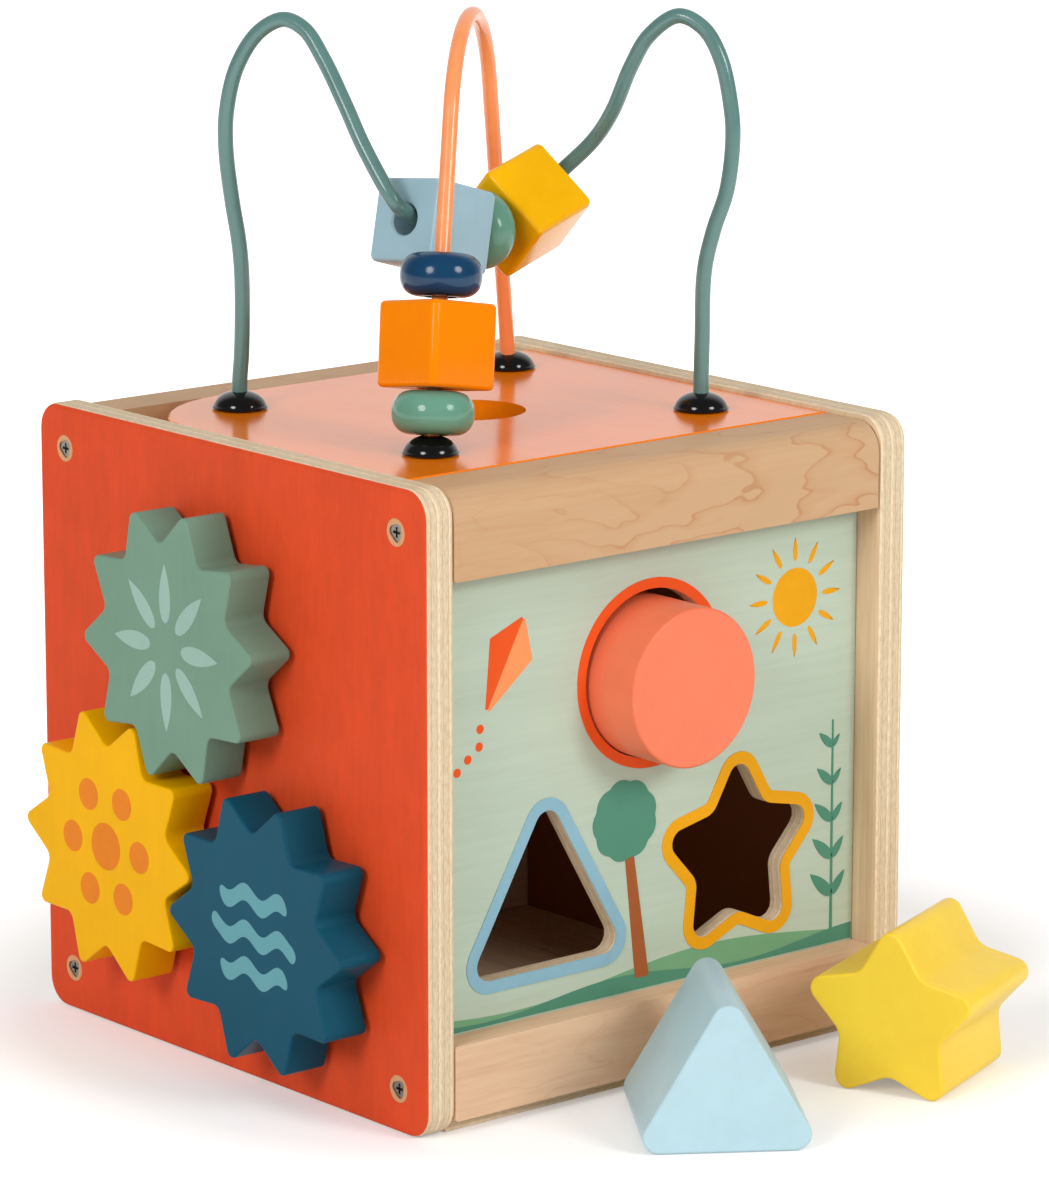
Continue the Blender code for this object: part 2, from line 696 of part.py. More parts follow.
def add_wire(name, points, material):
    """A round wire with closed ends along a centre line."""
    data = bpy.data.curves.new(name, "CURVE")
    data.dimensions = "3D"
    data.bevel_depth = WIRE_RADIUS
    data.bevel_resolution = 2
    data.use_fill_caps = True
    spline = data.splines.new("POLY")
    spline.points.add(len(points) - 1)
    for target, point in zip(spline.points, points):
        target.co = (*point, 1.0)
    data.materials.append(finish(material))
    obj = bpy.data.objects.new(name, data)
    bpy.context.scene.collection.objects.link(obj)


def make_wires():
    """The two bent steel wires of the bead maze."""
    add_wire("orange_wire", arch_path(), "orange_wire_coat")
    add_wire("green_wire", smooth_through(loop_path()), "green_wire_coat")


def disc_profile():
    """A round bead with a fully rounded rim and a straight hole."""
    half = DISC_THICK / 2
    flat = DISC_RADIUS - half
    profile = [(DISC_HOLE, -half)]
    for i in range(9):
        angle = -math.pi / 2 + math.pi * i / 8
        profile.append((flat + half * math.cos(angle), half * math.sin(angle)))
    profile.append((DISC_HOLE, half))
    return profile


def add_disc(name, material, frame):
    """A disc bead whose hole runs along the frame's Z."""
    return add_mesh(name, turned(disc_profile(), 32), material, frame)


def add_cube_bead(name, material, frame):
    """A cube bead with rounded edges whose hole runs along the frame's Z."""
    half = BEAD_CUBE / 2
    bead = add_mesh(name, block((-half, -half, -half), (half, half, half), BEAD_EDGE), material, frame)
    cut(bead, f"{name}_hole", prism(circle_outline(CUBE_HOLE, 24), -BEAD_CUBE, BEAD_CUBE), frame)
    return bead


def make_arch_beads():
    """Green disc, orange cube and dark blue disc on the front leg of the arch."""
    colours = {
        "front_green_disc": "green_paint",
        "orange_cube": "orange_paint",
        "dark_blue_disc": "dark_blue_paint",
    }
    foot = Vector((*FEET["front"], LID_TOP))
    axis = leaning(arch_lean() - ARCH_BEAD_SAG)
    for name, height in ARCH_BEADS.items():
        frame = frame_on_axis(foot + arch_leg("front") * height, axis)
        if name == "orange_cube":
            add_cube_bead(name, colours[name], frame @ Matrix.Rotation(ORANGE_CUBE_ROLL, 4, "Z"))
        else:
            add_disc(name, colours[name], frame)


def dip_bead_angles():
    """Angles on the dip of the three beads: each cube's face rests on the disc's rounded rim."""
    flat = DISC_RADIUS - DISC_THICK / 2
    step = math.asin((BEAD_CUBE / 2 + DISC_THICK / 2 + GAP) / (DIP_RADIUS + DIP_HANG - flat))
    return {"light_blue_cube": -step, "middle_green_disc": 0.0, "yellow_cube": step}


def dip_cube_frame(centre, lie):
    """A frame whose Z follows a bearing and slope, and whose X points down, rolled about Z."""
    bearing, slope, roll = lie
    reach = math.cos(slope)
    axis = Vector((math.cos(bearing) * reach, math.sin(bearing) * reach, math.sin(slope)))
    down = (axis * axis.z - Vector((0, 0, 1))).normalized()
    return frame_along(centre, down, axis.cross(down)) @ Matrix.Rotation(roll, 4, "Z")


def make_dip_beads():
    """Light blue cube, green disc and yellow cube hanging on the dip of the green wire."""
    colours = {
        "light_blue_cube": "light_blue_paint",
        "middle_green_disc": "green_paint",
        "yellow_cube": "yellow_paint",
    }
    lies = {"light_blue_cube": LIGHT_BLUE_LIE, "yellow_cube": YELLOW_LIE}
    for name, angle in dip_bead_angles().items():
        outward = (dip_point(angle) - dip_pivot()).normalized()
        centre = dip_point(angle) + outward * DIP_HANG
        if name in lies:
            add_cube_bead(name, colours[name], dip_cube_frame(centre, lies[name]))
        else:
            add_disc(name, colours[name], frame_along(centre, outward, dip_direction().cross(outward)))


def make_blocks():
    """Cylinder standing in the round hole; triangle and star standing on the floor."""
    y = CYLINDER_FACE_Y
    drop = ROUND_HOLE - CYLINDER_RADIUS - GAP
    centre = (ROUND_AT[0], y, ROUND_AT[1] - drop)
    frame = frame_along(centre, (-1, 0, 0), (0, 0, 1))
    cylinder = soft_prism(circle_outline(CYLINDER_RADIUS), 0, CYLINDER_LENGTH, BLOCK_EDGE)
    add_mesh("cylinder_block", cylinder, "coral_paint", frame)
    triangle = triangle_outline(TRIANGLE_BLOCK_SIDE)
    star = star_outline(STAR_BLOCK_SCALE)
    standing = (
        ("triangle", triangle, TRIANGLE_BLOCK_LENGTH, TRIANGLE_BLOCK_AT, TRIANGLE_BLOCK_TURN, "sky_paint"),
        ("star", star, STAR_BLOCK_LENGTH, STAR_BLOCK_AT, STAR_BLOCK_TURN, "sun_paint"),
    )
    for name, outline, length, (x, y), turn, colour in standing:
        rise = -min(v for _, v in outline)
        frame = frame_along((x, y, rise), (-math.cos(turn), -math.sin(turn), 0), (0, 0, 1))
        add_mesh(f"{name}_block", soft_prism(outline, 0, length, BLOCK_EDGE), colour, frame)


def main():
    """Build the whole cube."""
    clear_scene()
    make_side_panels()
    make_side_screws()
    make_rails()
    make_thin_panels()
    make_gears()
    make_lid()
    make_wires()
    make_arch_beads()
    make_dip_beads()
    make_blocks()


main()
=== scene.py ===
"""Looks of a wooden activity cube: a sorter front with loose blocks, a side of gears and a bead maze.

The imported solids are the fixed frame. Round and painted pieces are worked out again as fine surfaces,
prints are thin patches, and every finish is made of shader nodes. Lengths are metres, +Z is up, the
sorter front faces -Y and the gear side faces -X.
"""

import math

import bmesh
import bpy
import numpy as np
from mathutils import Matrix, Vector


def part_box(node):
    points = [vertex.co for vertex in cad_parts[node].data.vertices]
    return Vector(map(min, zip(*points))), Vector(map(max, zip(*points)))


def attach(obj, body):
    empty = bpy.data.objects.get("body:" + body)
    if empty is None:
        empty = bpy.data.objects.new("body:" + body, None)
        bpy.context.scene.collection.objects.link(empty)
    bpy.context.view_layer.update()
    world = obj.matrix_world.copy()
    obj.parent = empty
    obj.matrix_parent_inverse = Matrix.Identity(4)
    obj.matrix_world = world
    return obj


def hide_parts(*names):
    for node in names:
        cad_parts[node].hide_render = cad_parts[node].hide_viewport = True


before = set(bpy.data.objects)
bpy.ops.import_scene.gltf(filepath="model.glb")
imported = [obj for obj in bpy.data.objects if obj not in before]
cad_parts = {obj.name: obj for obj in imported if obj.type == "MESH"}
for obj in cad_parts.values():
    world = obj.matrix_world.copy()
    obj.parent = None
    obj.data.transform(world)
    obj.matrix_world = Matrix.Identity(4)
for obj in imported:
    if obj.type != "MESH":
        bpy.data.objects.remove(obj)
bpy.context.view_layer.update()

MM = 0.001
UP = np.array([0.0, 0.0, 1.0])

# Surfaces: edges sharper than this angle stay sharp, and a row this far in keeps a slab's faces flat
SHARP_ANGLE = math.radians(40)
SLAB_FLAT = 0.2 * MM

# Camera, from the photograph's vanishing lines
CAMERA_AT = (-0.9963, -1.2151, 0.4760)
CAMERA_AZIMUTH = math.radians(-39.92)
CAMERA_ELEVATION = math.radians(12.65)
CAMERA_LENS = 191.73
CAMERA_SENSOR = 36.0

# Studio: two soft boxes, a white backdrop behind the cube, a dimmer room in front, a glowing floor
LEFT_BOX_AZIMUTH = -72
RIGHT_BOX_AZIMUTH = 12
BOX_ELEVATION = 26
BOX_DISTANCE = 1.5
BOX_SIZE = 0.5
BOX_POWER = 7.9
BOX_AIM = 0.1
FILL_LEVEL = 0.54
ROOM_LEVEL = 0.18
BACKDROP_SIDE = (0.64, 0.77, 0.0)
BACKDROP_FADE = (0.3, 0.7)
FLOOR_SIZE = 6.0
FLOOR_Z = -0.2 * MM
FLOOR_WHITE = (0.86, 0.85, 0.84, 1.0)
FLOOR_GLOW = 0.26
FLOOR_GLOW_FAR = 1.0
FLOOR_GLOW_REACH = (0.15, 0.28)
FLOOR_GLOW_SHIFT = (-0.025, 0.0, 0.0)

# Places that the solids fix
GEAR_SIDE_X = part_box("left_side_panel")[0].x
GEAR_FACE_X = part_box("green_gear")[0].x
GEAR_BACK_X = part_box("green_gear")[1].x
PANEL_FRONT_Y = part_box("sorter_panel")[0].y
LID_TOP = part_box("lid_panel")[1].z

# Plane of the sorter panel's face: origin, across, up and out
FRONT_PLANE = ((0, PANEL_FRONT_Y, 0), (1, 0, 0), (0, 0, 1), (0, -1, 0))

# Plywood: thickness of a layer, with pegs in one layer; depth of stain and print; where painted brown shade
# darkens the inside of the box
SIDE_PLY = 2.0 * MM
PANEL_PLY = 1.25 * MM
BOARD_PLY = 1.23 * MM
PEG_PLY = 100.0 * MM
STAIN_DEPTH = 0.75 * MM
MINT_DEPTH = 0.15 * MM
PAINTED_SHADE_DEPTH = 0.3 * MM
PAINTED_SHADE_BEHIND_FRONT = 4.0 * MM
PAINTED_SHADE_UNDER_LID = 12.0 * MM

# Stretch of the wood grain along each axis
ALONG_X = (0.05, 1.0, 1.0)
ALONG_Y = (1.0, 0.05, 1.0)
ALONG_Z = (1.0, 1.0, 0.05)

# Rails: where in the noise each one's growth rings lie, and how strongly the rings show
RAIL_SHIFTS = {
    "top_front_rail": (0.004, 0.075, -0.150),
    "top_back_rail": (0.011, -0.070, -0.162),
    "bottom_front_rail": (0.017, 0.080, -0.004),
    "bottom_back_rail": (0.023, -0.076, -0.020),
}
TOP_FIGURE = 0.95
BOTTOM_FIGURE = 0.3

# Gears: straight-sided teeth with rounded tips and valleys
GEARS = ("green", "yellow", "blue")
GEAR_TEETH = 10
GEAR_TIP = 40.7 * MM
GEAR_VALLEY = 29.0 * MM
GEAR_TIP_ROUND = 2.2 * MM
GEAR_VALLEY_ROUND = 3.0 * MM
GEAR_RIM = 0.6 * MM
GEAR_DISTANCE = 70.0 * MM
YELLOW_AT = (36.7 * MM, 60.2 * MM)
YELLOW_PHASE = math.radians(1.6)
GREEN_BEARING = math.radians(115.4)
BLUE_BEARING = math.radians(189.4)

# Sorter holes as (x, z), their borders, the ink and the panel
ROUND_AT = (0.0, 116.3 * MM)
ROUND_HOLE = 24.0 * MM
RING_WIDTH = 3.0 * MM
TRIANGLE_AT = (-37.8 * MM, 54.7 * MM)
TRIANGLE_SIDE = 57.0 * MM
TRIANGLE_CORNER = 4.5 * MM
STAR_AT = (33.2 * MM, 58.4 * MM)
STAR_TIP = 30.3 * MM
STAR_VALLEY = 16.6 * MM
STAR_TIP_ROUND = 4.0 * MM
STAR_VALLEY_ROUND = 6.0 * MM
BORDER_WIDTH = 3.6 * MM
PRINT_THICK = 0.06 * MM
PRINT_SINK = 0.02 * MM
PANEL_HALF = 77.3 * MM
PANEL_LOW = 25.6 * MM

# Torn wood round the side screws
SINK_INNER = 2.5 * MM
SINK_OUTER = 3.85 * MM
SINK_WAVE = 0.12
SINK_LOW = -0.36 * MM
SINK_HIGH = -0.06 * MM

# Loose blocks: their rims are sharper than the solids', so their front faces stand a little further in
BLOCK_RIM = 0.8 * MM
BLOCK_INSET = 0.3 * MM
BLOCK_GLOSS = 0.4
CYLINDER_RADIUS = 22.6 * MM
TRIANGLE_BLOCK_SIDE = 52.8 * MM
TRIANGLE_BLOCK_LENGTH = 48.0 * MM
TRIANGLE_BLOCK_AT = (-31.0 * MM, -146.9 * MM)
TRIANGLE_BLOCK_TURN = math.radians(-34.6)
STAR_BLOCK_SCALE = 0.965
STAR_BLOCK_LENGTH = 43.0 * MM
STAR_BLOCK_AT = (37.4 * MM, -137.4 * MM)
STAR_BLOCK_TURN = math.radians(-67.4)

# Bead maze: places and main sizes are those of the solids, rims and lips are finer
FEET = {
    "left": (-48.2 * MM, 45.1 * MM),
    "front": (-48.9 * MM, -42.6 * MM),
    "right": (51.9 * MM, -41.1 * MM),
    "back": (52.7 * MM, 45.9 * MM),
}
FOOT_RADIUS = 8.0 * MM
FOOT_HEIGHT = 5.1 * MM
FOOT_GAP = 0.3 * MM
DOME_RADIUS = 0.93 * FOOT_RADIUS
DOME_HEIGHT = FOOT_HEIGHT - 0.6 * MM
DOME_LOW = 0.5 * MM
DOME_TURN = 1.32
FLANGE_STEPS = ((-0.3, 0.0), (0.0, 0.25), (-0.2, 0.6))
WIRE_RADIUS = 2.25 * MM
WIRE_TAIL = 10.5 * MM
ARCH_TOP = 291.9 * MM
ARCH_RADIUS = 35.2 * MM
DIP_RADIUS = 63.0 * MM
DIP_LOW = 231.2 * MM
DIP_HALF = math.radians(35)
DIP_BEARING = math.radians(11)
DIP_CENTRE = (3.0 * MM, -0.4 * MM)
DIP_HANG = 0.3 * MM
DIP_PIVOT = np.array([*DIP_CENTRE, DIP_LOW + DIP_RADIUS])
DIP_DIRECTION = np.array([math.cos(DIP_BEARING), math.sin(DIP_BEARING), 0.0])
BEAD_CUBE = 24.0 * MM
BEAD_RIM = 1.5 * MM
BEAD_CORNER = 2.2 * MM
BEAD_FLAT = 0.3 * MM
CORNER_CROWDING = 0.19
CUBE_HOLE = 4.5 * MM
CUBE_LIP = 0.5 * MM
CUBE_GLOSS = 0.12
DISC_HOLE = 4.2 * MM
DISC_LIP = 0.6 * MM
DISC_GLOSS = 0.3
DISC_POWER = 0.85
DISC_RADIUS = 11.5 * MM
DISC_THICK = 12.2 * MM
BEAD_GAP = 0.3 * MM

# Beads on the arch's front leg: each middle's length along it, and how much more upright they hang
ARCH_BEADS = {"front_green_disc": 11.5 * MM, "orange_cube": 30.4 * MM, "dark_blue_disc": 50.2 * MM}
ARCH_BEAD_SAG = math.radians(7.5)
ORANGE_CUBE_ROLL = math.radians(3)

# Cubes on the dip: bearing and slope of the hole, roll about it, in degrees
DIP_CUBES = {"light_blue_cube": (7.2, -16.6, -5.3), "yellow_cube": (8.8, 15.7, 46.0)}

# Loops of the green wire in millimetres, as steps from a foot: towards the other foot, sideways, up
LEFT_LOOP = (
    (0.0, 0.0, 8.0), (0.6, 0.0, 16.0), (1.0, 0.0, 31.0), (0.8, 0.0, 41.5), (0.1, 0.0, 49.2),
    (-1.6, 0.0, 60.2), (-3.2, 0.0, 75.2), (-2.8, -0.5, 86.1), (0.5, -2.0, 99.0), (6.8, -4.0, 108.7),
    (13.9, -6.5, 112.5), (19.9, -9.5, 110.1), (25.4, -13.5, 102.2), (31.5, -19.0, 90.4), (37.3, -24.0, 78.3),
)
RIGHT_LOOP = (
    (0.0, 0.0, 8.0), (-0.2, 0.0, 20.0), (-0.7, 0.0, 40.2), (-3.2, 0.0, 51.8), (-6.9, 0.0, 63.4),
    (-8.5, -0.5, 77.8), (-8.0, -1.0, 86.4), (-5.0, -2.0, 100.4), (-0.1, -4.0, 108.9), (6.9, -6.5, 112.2),
    (15.2, -10.5, 106.2), (20.3, -14.0, 97.0), (25.8, -19.0, 83.0), (31.3, -24.5, 73.9),
)

# Colours as they are seen, 0 to 255
RED_STAIN = (221, 77, 38)
CREAM_PLY = (246, 224, 190)
GLUE_LINE = (188, 152, 112)
PLY_FIBRE = (205, 190, 168)
# Painted shade on the right side's inner face, inside the box
INNER_PAINTED_SHADE = (160, 96, 58)
TORN_WOOD = (214, 160, 116)
BEECH = (205, 168, 129)
BEECH_GRAIN = (184, 122, 80)
# Bottom rails: the beech lightened as painted light bouncing up from the floor
BEECH_PAINTED_BOUNCE_LIGHT = (231, 195, 162)
MINT = (187, 202, 183)
LID_ORANGE = (255, 130, 8)
GEAR_GREEN = (119, 153, 132)
GEAR_GREEN_PRINT = (156, 188, 175)
GEAR_YELLOW = (247, 182, 0)
GEAR_YELLOW_PRINT = (234, 133, 36)
GEAR_BLUE = (20, 80, 101)
GEAR_BLUE_PRINT = (103, 161, 169)
BEAD_BLUE = (18, 62, 96)
BEAD_GREEN = (104, 157, 135)
BEAD_SKY = (160, 193, 205)
BEAD_ORANGE = (255, 136, 0)
BEAD_YELLOW = (250, 184, 8)
CORAL = (244, 122, 84)
SKY = (185, 216, 225)
SUN = (255, 213, 55)
WIRE_GREEN = (92, 130, 125)
WIRE_ORANGE = (255, 154, 96)
RING_RED = (238, 90, 36)
BORDER_BLUE = (143, 184, 200)
BORDER_AMBER = (236, 166, 26)
LEAF_GREEN = (84, 142, 118)
HILL_GREEN = (118, 168, 128)
TRUNK_BROWN = (166, 92, 52)
NYLON = (222, 218, 210)
BLACK_PLASTIC = (10, 8, 9)
DARK_STEEL = (104, 98, 92)
LIGHT_STEEL = (150, 144, 136)
WHITE = (255, 255, 255)
BLACK = (0, 0, 0)


# Small vector helpers


def unit(vectors):
    """Vectors of length one along the last axis."""
    return vectors / np.linalg.norm(vectors, axis=-1, keepdims=True)


def linear(colour):
    """A seen colour, 0 to 255, as the linear colour that a shader takes."""
    share = np.asarray(colour, float) / 255
    bent = np.where(share <= 0.04045, share / 12.92, ((share + 0.055) / 1.055) ** 2.4)
    return (*bent.tolist(), 1.0)


def bearings(angle):
    """Unit steps (cos, sin) at angles."""
    return np.stack([np.cos(angle), np.sin(angle)], -1)


def full_turn(count):
    """Even angles once round, from 0."""
    return np.linspace(0, 2 * np.pi, count, endpoint=False)


def on_plane(flat, depths, plane):
    """Rows of flat points (u, v), each row at a depth w, as places: origin + u across + v up + w out."""
    origin, across, up, out = (np.asarray(part, float) for part in plane)
    return origin + flat[..., :1] * across + flat[..., 1:] * up + np.asarray(depths)[:, None, None] * out


# Surfaces


def put(name, data):
    """A new object of some data, linked into the scene."""
    made = bpy.data.objects.new(name, data)
    bpy.context.scene.collection.objects.link(made)
    return made


def surface(name, points, finish, body, ends="cap"):
    """A closed skin over a grid of points: columns go round, rows go along.

    Neighbours are joined by four-sided faces. The end rows are closed by flat faces ("cap") or joined to each
    other ("join"). The piece rides on a body.
    """
    rows, columns = points.shape[:2]
    index = np.arange(rows * columns).reshape(rows, columns)
    following = np.roll(index, -1, axis=0) if ends == "join" else index[1:]
    here = index if ends == "join" else index[:-1]
    corners = [here, np.roll(here, -1, 1), np.roll(following, -1, 1), following]
    faces = np.stack(corners, -1).reshape(-1, 4).tolist()
    if ends == "cap":
        faces += [index[0].tolist(), index[-1].tolist()]
    mesh = bpy.data.meshes.new(name)
    mesh.from_pydata(points.reshape(-1, 3).tolist(), [], faces)
    shape = bmesh.new()
    shape.from_mesh(mesh)
    bmesh.ops.recalc_face_normals(shape, faces=shape.faces)
    shape.to_mesh(mesh)
    shape.free()
    mesh.shade_smooth()
    mesh.set_sharp_from_angle(angle=SHARP_ANGLE)
    mesh.materials.append(finish)
    piece = put(name, mesh)
    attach(piece, body)
    return piece


def outline_normals(outline):
    """Outward normals of a closed anticlockwise outline, square to the line between a point's neighbours."""
    ahead = np.roll(outline, -1, 0) - np.roll(outline, 1, 0)
    return unit(np.stack([ahead[:, 1], -ahead[:, 0]], 1))


def rounded_rows(outline, low, high, rim, steps, further):
    """Rows of an outline from depth low to depth high with quarter-round rims, and each row's depth.

    Point (k, i) = outline_i - inset_k normal_i at depth_k, where inset and depth follow a quarter circle at
    each end, and one more row a little further in keeps the flat faces flat.
    """
    turn = np.linspace(0, np.pi / 2, steps + 1)
    inset = np.concatenate([[rim + further], rim * (1 - np.sin(turn))])
    depth = np.concatenate([[0.0], rim * (1 - np.cos(turn))])
    insets = np.concatenate([inset, inset[::-1]])
    depths = np.concatenate([low + depth, high - depth[::-1]])
    return outline[None] - insets[:, None, None] * outline_normals(outline)[None], depths


def slab(outline, low, high, rim, plane, steps=5):
    """An outline carried from depth low to depth high, with quarter-round rims."""
    return on_plane(*rounded_rows(outline, low, high, rim, steps, SLAB_FLAT), plane)


def ring_slab(inner, outer, low, high, plane):
    """A thin band between two outlines of equal count: a rectangle's four corners carried round."""
    return on_plane(np.stack([inner, outer, outer, inner]), (low, low, high, high), plane)


def turned(profile, origin, axis, around=64):
    """A profile of (radius, height) rows about an axis, not Y: origin + height axis + radius (cos, sin)."""
    axis = unit(axis)
    first = unit(np.cross(axis, (0.0, 1.0, 0.0)))
    ring = bearings(full_turn(around)) @ np.stack([first, np.cross(axis, first)])
    radius, height = profile.T[..., None, None]
    return origin + height * axis + radius * ring


def tube(path, radius, side, around=24):
    """A round section carried along a path.

    The section's axes are the side vector made square to the path, and the cross product of both.
    """
    ahead = unit(np.gradient(path, axis=0))
    first = unit(side - (ahead @ side)[:, None] * ahead)
    second = np.cross(ahead, first)
    angle = full_turn(around)[None, :, None]
    ring = np.cos(angle) * first[:, None] + np.sin(angle) * second[:, None]
    return path[:, None] + radius * ring


def through(points, per_span=10):
    """A centripetal Catmull-Rom curve through points, worked out for all spans at once.

    Each level of the pyramid mixes neighbours by t between their knots: a + (b - a) (t - k) / (m - k).
    """
    padded = np.concatenate([[2 * points[0] - points[1]], points, [2 * points[-1] - points[-2]]])
    places = [padded[i:len(points) - 1 + i, None] for i in range(4)]
    gaps = [np.sqrt(np.linalg.norm(b - a, axis=-1, keepdims=True)) for a, b in zip(places, places[1:])]
    knots = np.cumsum([0 * gaps[0], *gaps], axis=0)
    t = knots[1] + (knots[2] - knots[1]) * np.linspace(0, 1, per_span, endpoint=False)[:, None]
    for level in (1, 2):
        pairs = zip(places, places[1:], knots, knots[level:])
        places = [a + (b - a) * (t - k) / (m - k) for a, b, k, m in pairs]
    curve = places[0] + (places[1] - places[0]) * (t - knots[1]) / (knots[2] - knots[1])
    return np.concatenate([curve.reshape(-1, 3), points[-1:]])


# Outlines


def circle(radius, centre=(0, 0), count=96):
    """Points of a circle, anticlockwise."""
    return radius * bearings(full_turn(count)) + centre


def rounded_polygon(corners, radii, steps=10):
    """Each corner of a polygon becomes an arc of its radius that touches both sides."""
    radii = np.broadcast_to(radii, len(corners))
    to_last = unit(np.roll(corners, 1, 0) - corners)
    to_next = unit(np.roll(corners, -1, 0) - corners)
    half = np.arccos(np.clip((to_last * to_next).sum(1), -1, 1)) / 2
    centre = corners + unit(to_last + to_next) * (radii / np.sin(half))[:, None]
    touch = (radii / np.tan(half))[:, None]
    rays_out = [corners + side * touch - centre for side in (to_last, to_next)]
    first, last = (np.arctan2(ray[:, 1], ray[:, 0]) for ray in rays_out)
    sweep = (last - first + np.pi) % (2 * np.pi) - np.pi
    angle = first[:, None] + sweep[:, None] * np.linspace(0, 1, steps + 1)
    arcs = centre[:, None] + radii[:, None, None] * bearings(angle)
    return arcs.reshape(-1, 2)


def triangle_outline(side, centre=(0, 0)):
    """An upright triangle of equal sides with rounded corners."""
    corners = side / math.sqrt(3) * bearings(np.radians([90, 210, 330]))
    return rounded_polygon(corners, TRIANGLE_CORNER) + centre


def toothed_outline(count, tip, valley, tip_round, valley_round, first, steps=10):
    """Tips and valleys that take turns on two circles, each rounded, with a first tip at an angle."""
    number = np.arange(2 * count)
    is_tip = number % 2 == 0
    reach = np.where(is_tip, tip, valley)
    corners = reach[:, None] * bearings(np.pi / count * number + first)
    return rounded_polygon(corners, np.where(is_tip, tip_round, valley_round), steps)


def star_outline(scale, centre=(0, 0)):
    """An upright five-pointed star."""
    sizes = [scale * size for size in (STAR_TIP, STAR_VALLEY, STAR_TIP_ROUND, STAR_VALLEY_ROUND)]
    return toothed_outline(5, *sizes, math.pi / 2) + centre


def gear_outline(phase):
    """Straight-sided teeth, turned by a phase."""
    sizes = (GEAR_TIP, GEAR_VALLEY, GEAR_TIP_ROUND, GEAR_VALLEY_ROUND)
    return toothed_outline(GEAR_TEETH, *sizes, phase, 8)


def grown(outline, width):
    """An outline moved out by a width along its normals."""
    return outline + width * outline_normals(outline)


# Finishes


def add(tree, kind, inputs=None, **settings):
    """A node with its settings made; each input is a socket to link or a value to set."""
    made = tree.nodes.new(kind)
    for key, value in settings.items():
        setattr(made, key, value)
    for key, value in (inputs or {}).items():
        if isinstance(value, bpy.types.NodeSocket):
            tree.links.new(value, made.inputs[key])
        else:
            made.inputs[key].default_value = value
    return made


def start_finish(name, roughness, gloss=0.1):
    """A fresh material and its node tree."""
    finish = bpy.data.materials.new(name)
    finish.use_nodes = True
    shader = finish.node_tree.nodes["Principled BSDF"]
    shader.inputs["Roughness"].default_value = roughness
    shader.inputs["Specular IOR Level"].default_value = gloss
    return finish, finish.node_tree


def end_finish(finish, colour, factor, low, high, strength=0.0, distance=0.0):
    """Link a colour, a roughness from low to high by a factor and, where it has a strength, a bump of it."""
    tree = finish.node_tree
    shader = tree.nodes["Principled BSDF"]
    tree.links.new(colour, shader.inputs["Base Color"])
    tree.links.new(spread(tree, factor, low, high), shader.inputs["Roughness"])
    if strength:
        inputs = {"Height": factor, "Strength": strength, "Distance": distance}
        tree.links.new(add(tree, "ShaderNodeBump", inputs).outputs["Normal"], shader.inputs["Normal"])
    return finish


def place_of(tree, scale=(1, 1, 1), shift=(0, 0, 0)):
    """Object coordinates, stretched and shifted."""
    where = add(tree, "ShaderNodeTexCoord")
    inputs = {"Vector": where.outputs["Object"], "Location": shift, "Scale": scale}
    return add(tree, "ShaderNodeMapping", inputs).outputs["Vector"]


def coordinate(tree, axis):
    """One of the object coordinates."""
    where = add(tree, "ShaderNodeTexCoord").outputs["Object"]
    return add(tree, "ShaderNodeSeparateXYZ", {"Vector": where}).outputs[axis]


def noise(tree, where, scale, detail, roughness=0.55, distortion=0.0):
    """A noise factor read at a place."""
    inputs = {"Vector": where, "Scale": scale, "Detail": detail}
    inputs.update({"Roughness": roughness, "Distortion": distortion})
    return add(tree, "ShaderNodeTexNoise", inputs).outputs["Fac"]


def ramp(tree, factor, stops, interpolation="LINEAR"):
    """A colour ramp through (position, seen colour) stops."""
    made = add(tree, "ShaderNodeValToRGB", {"Fac": factor})
    made.color_ramp.interpolation = interpolation
    points = made.color_ramp.elements
    while len(points) < len(stops):
        points.new(0.5)
    for point, (position, colour) in zip(points, stops):
        point.position = position
        point.color = linear(colour)
    return made.outputs["Color"]


def spread(tree, factor, low, high, start=0.0, end=1.0):
    """A factor stretched from start..end to low..high."""
    inputs = {"Value": factor, "From Min": start, "From Max": end, "To Min": low, "To Max": high}
    return add(tree, "ShaderNodeMapRange", inputs).outputs["Result"]


def maths(tree, operation, first, second=0.0):
    """Two factors put together by an operation; some operations use only the first."""
    return add(tree, "ShaderNodeMath", {0: first, 1: second}, operation=operation).outputs[0]


def mix(tree, factor, first, second, blend="MIX"):
    """Two colours mixed by a factor; each is a socket or a seen colour."""
    first, second = (linear(side) if isinstance(side, tuple) else side for side in (first, second))
    inputs = {0: factor, 6: first, 7: second}
    return add(tree, "ShaderNodeMix", inputs, data_type="RGBA", blend_type=blend).outputs[2]


def shade(colour, factor):
    """A seen colour made lighter or darker by a factor."""
    return tuple(min(255.0, c * factor) for c in colour)


def mean(first, second, share):
    """A seen colour between two others."""
    return tuple(a + (b - a) * share for a, b in zip(first, second))


def tones(tree, factor, colour, dark, light, start=0.3, end=0.7):
    """A colour that goes from a dark to a light shade of itself as a factor rises from start to end."""
    return ramp(tree, factor, [(start, shade(colour, dark)), (end, shade(colour, light))])


def paint(name, colour, roughness=0.38, grain=(1, 1, 1), gloss=0.06):
    """Satin paint on wood: cloudy tone, a faint raised grain under the paint and uneven gloss."""
    finish, tree = start_finish(name, roughness, gloss)
    cloud = noise(tree, place_of(tree), 45.0, 3.0)
    streak = noise(tree, place_of(tree, grain), 260.0, 5.0, 0.6)
    clouded = tones(tree, cloud, colour, 0.98, 1.02)
    streaked = tones(tree, streak, colour, 0.88, 1.08, 0.35, 0.65)
    both = mix(tree, 0.07, clouded, streaked)
    return end_finish(finish, both, streak, roughness - 0.06, roughness + 0.08, 0.06, 0.1 * MM)


def enamel(name, colour, roughness=0.2):
    """Thick glossy enamel on wire: even colour with slow ripples in the coat."""
    finish, tree = start_finish(name, roughness, 0.5)
    ripple = noise(tree, place_of(tree), 180.0, 2.0)
    tone = tones(tree, ripple, colour, 0.98, 1.02)
    return end_finish(finish, tone, ripple, roughness - 0.07, roughness + 0.09, 0.06, 0.2 * MM)


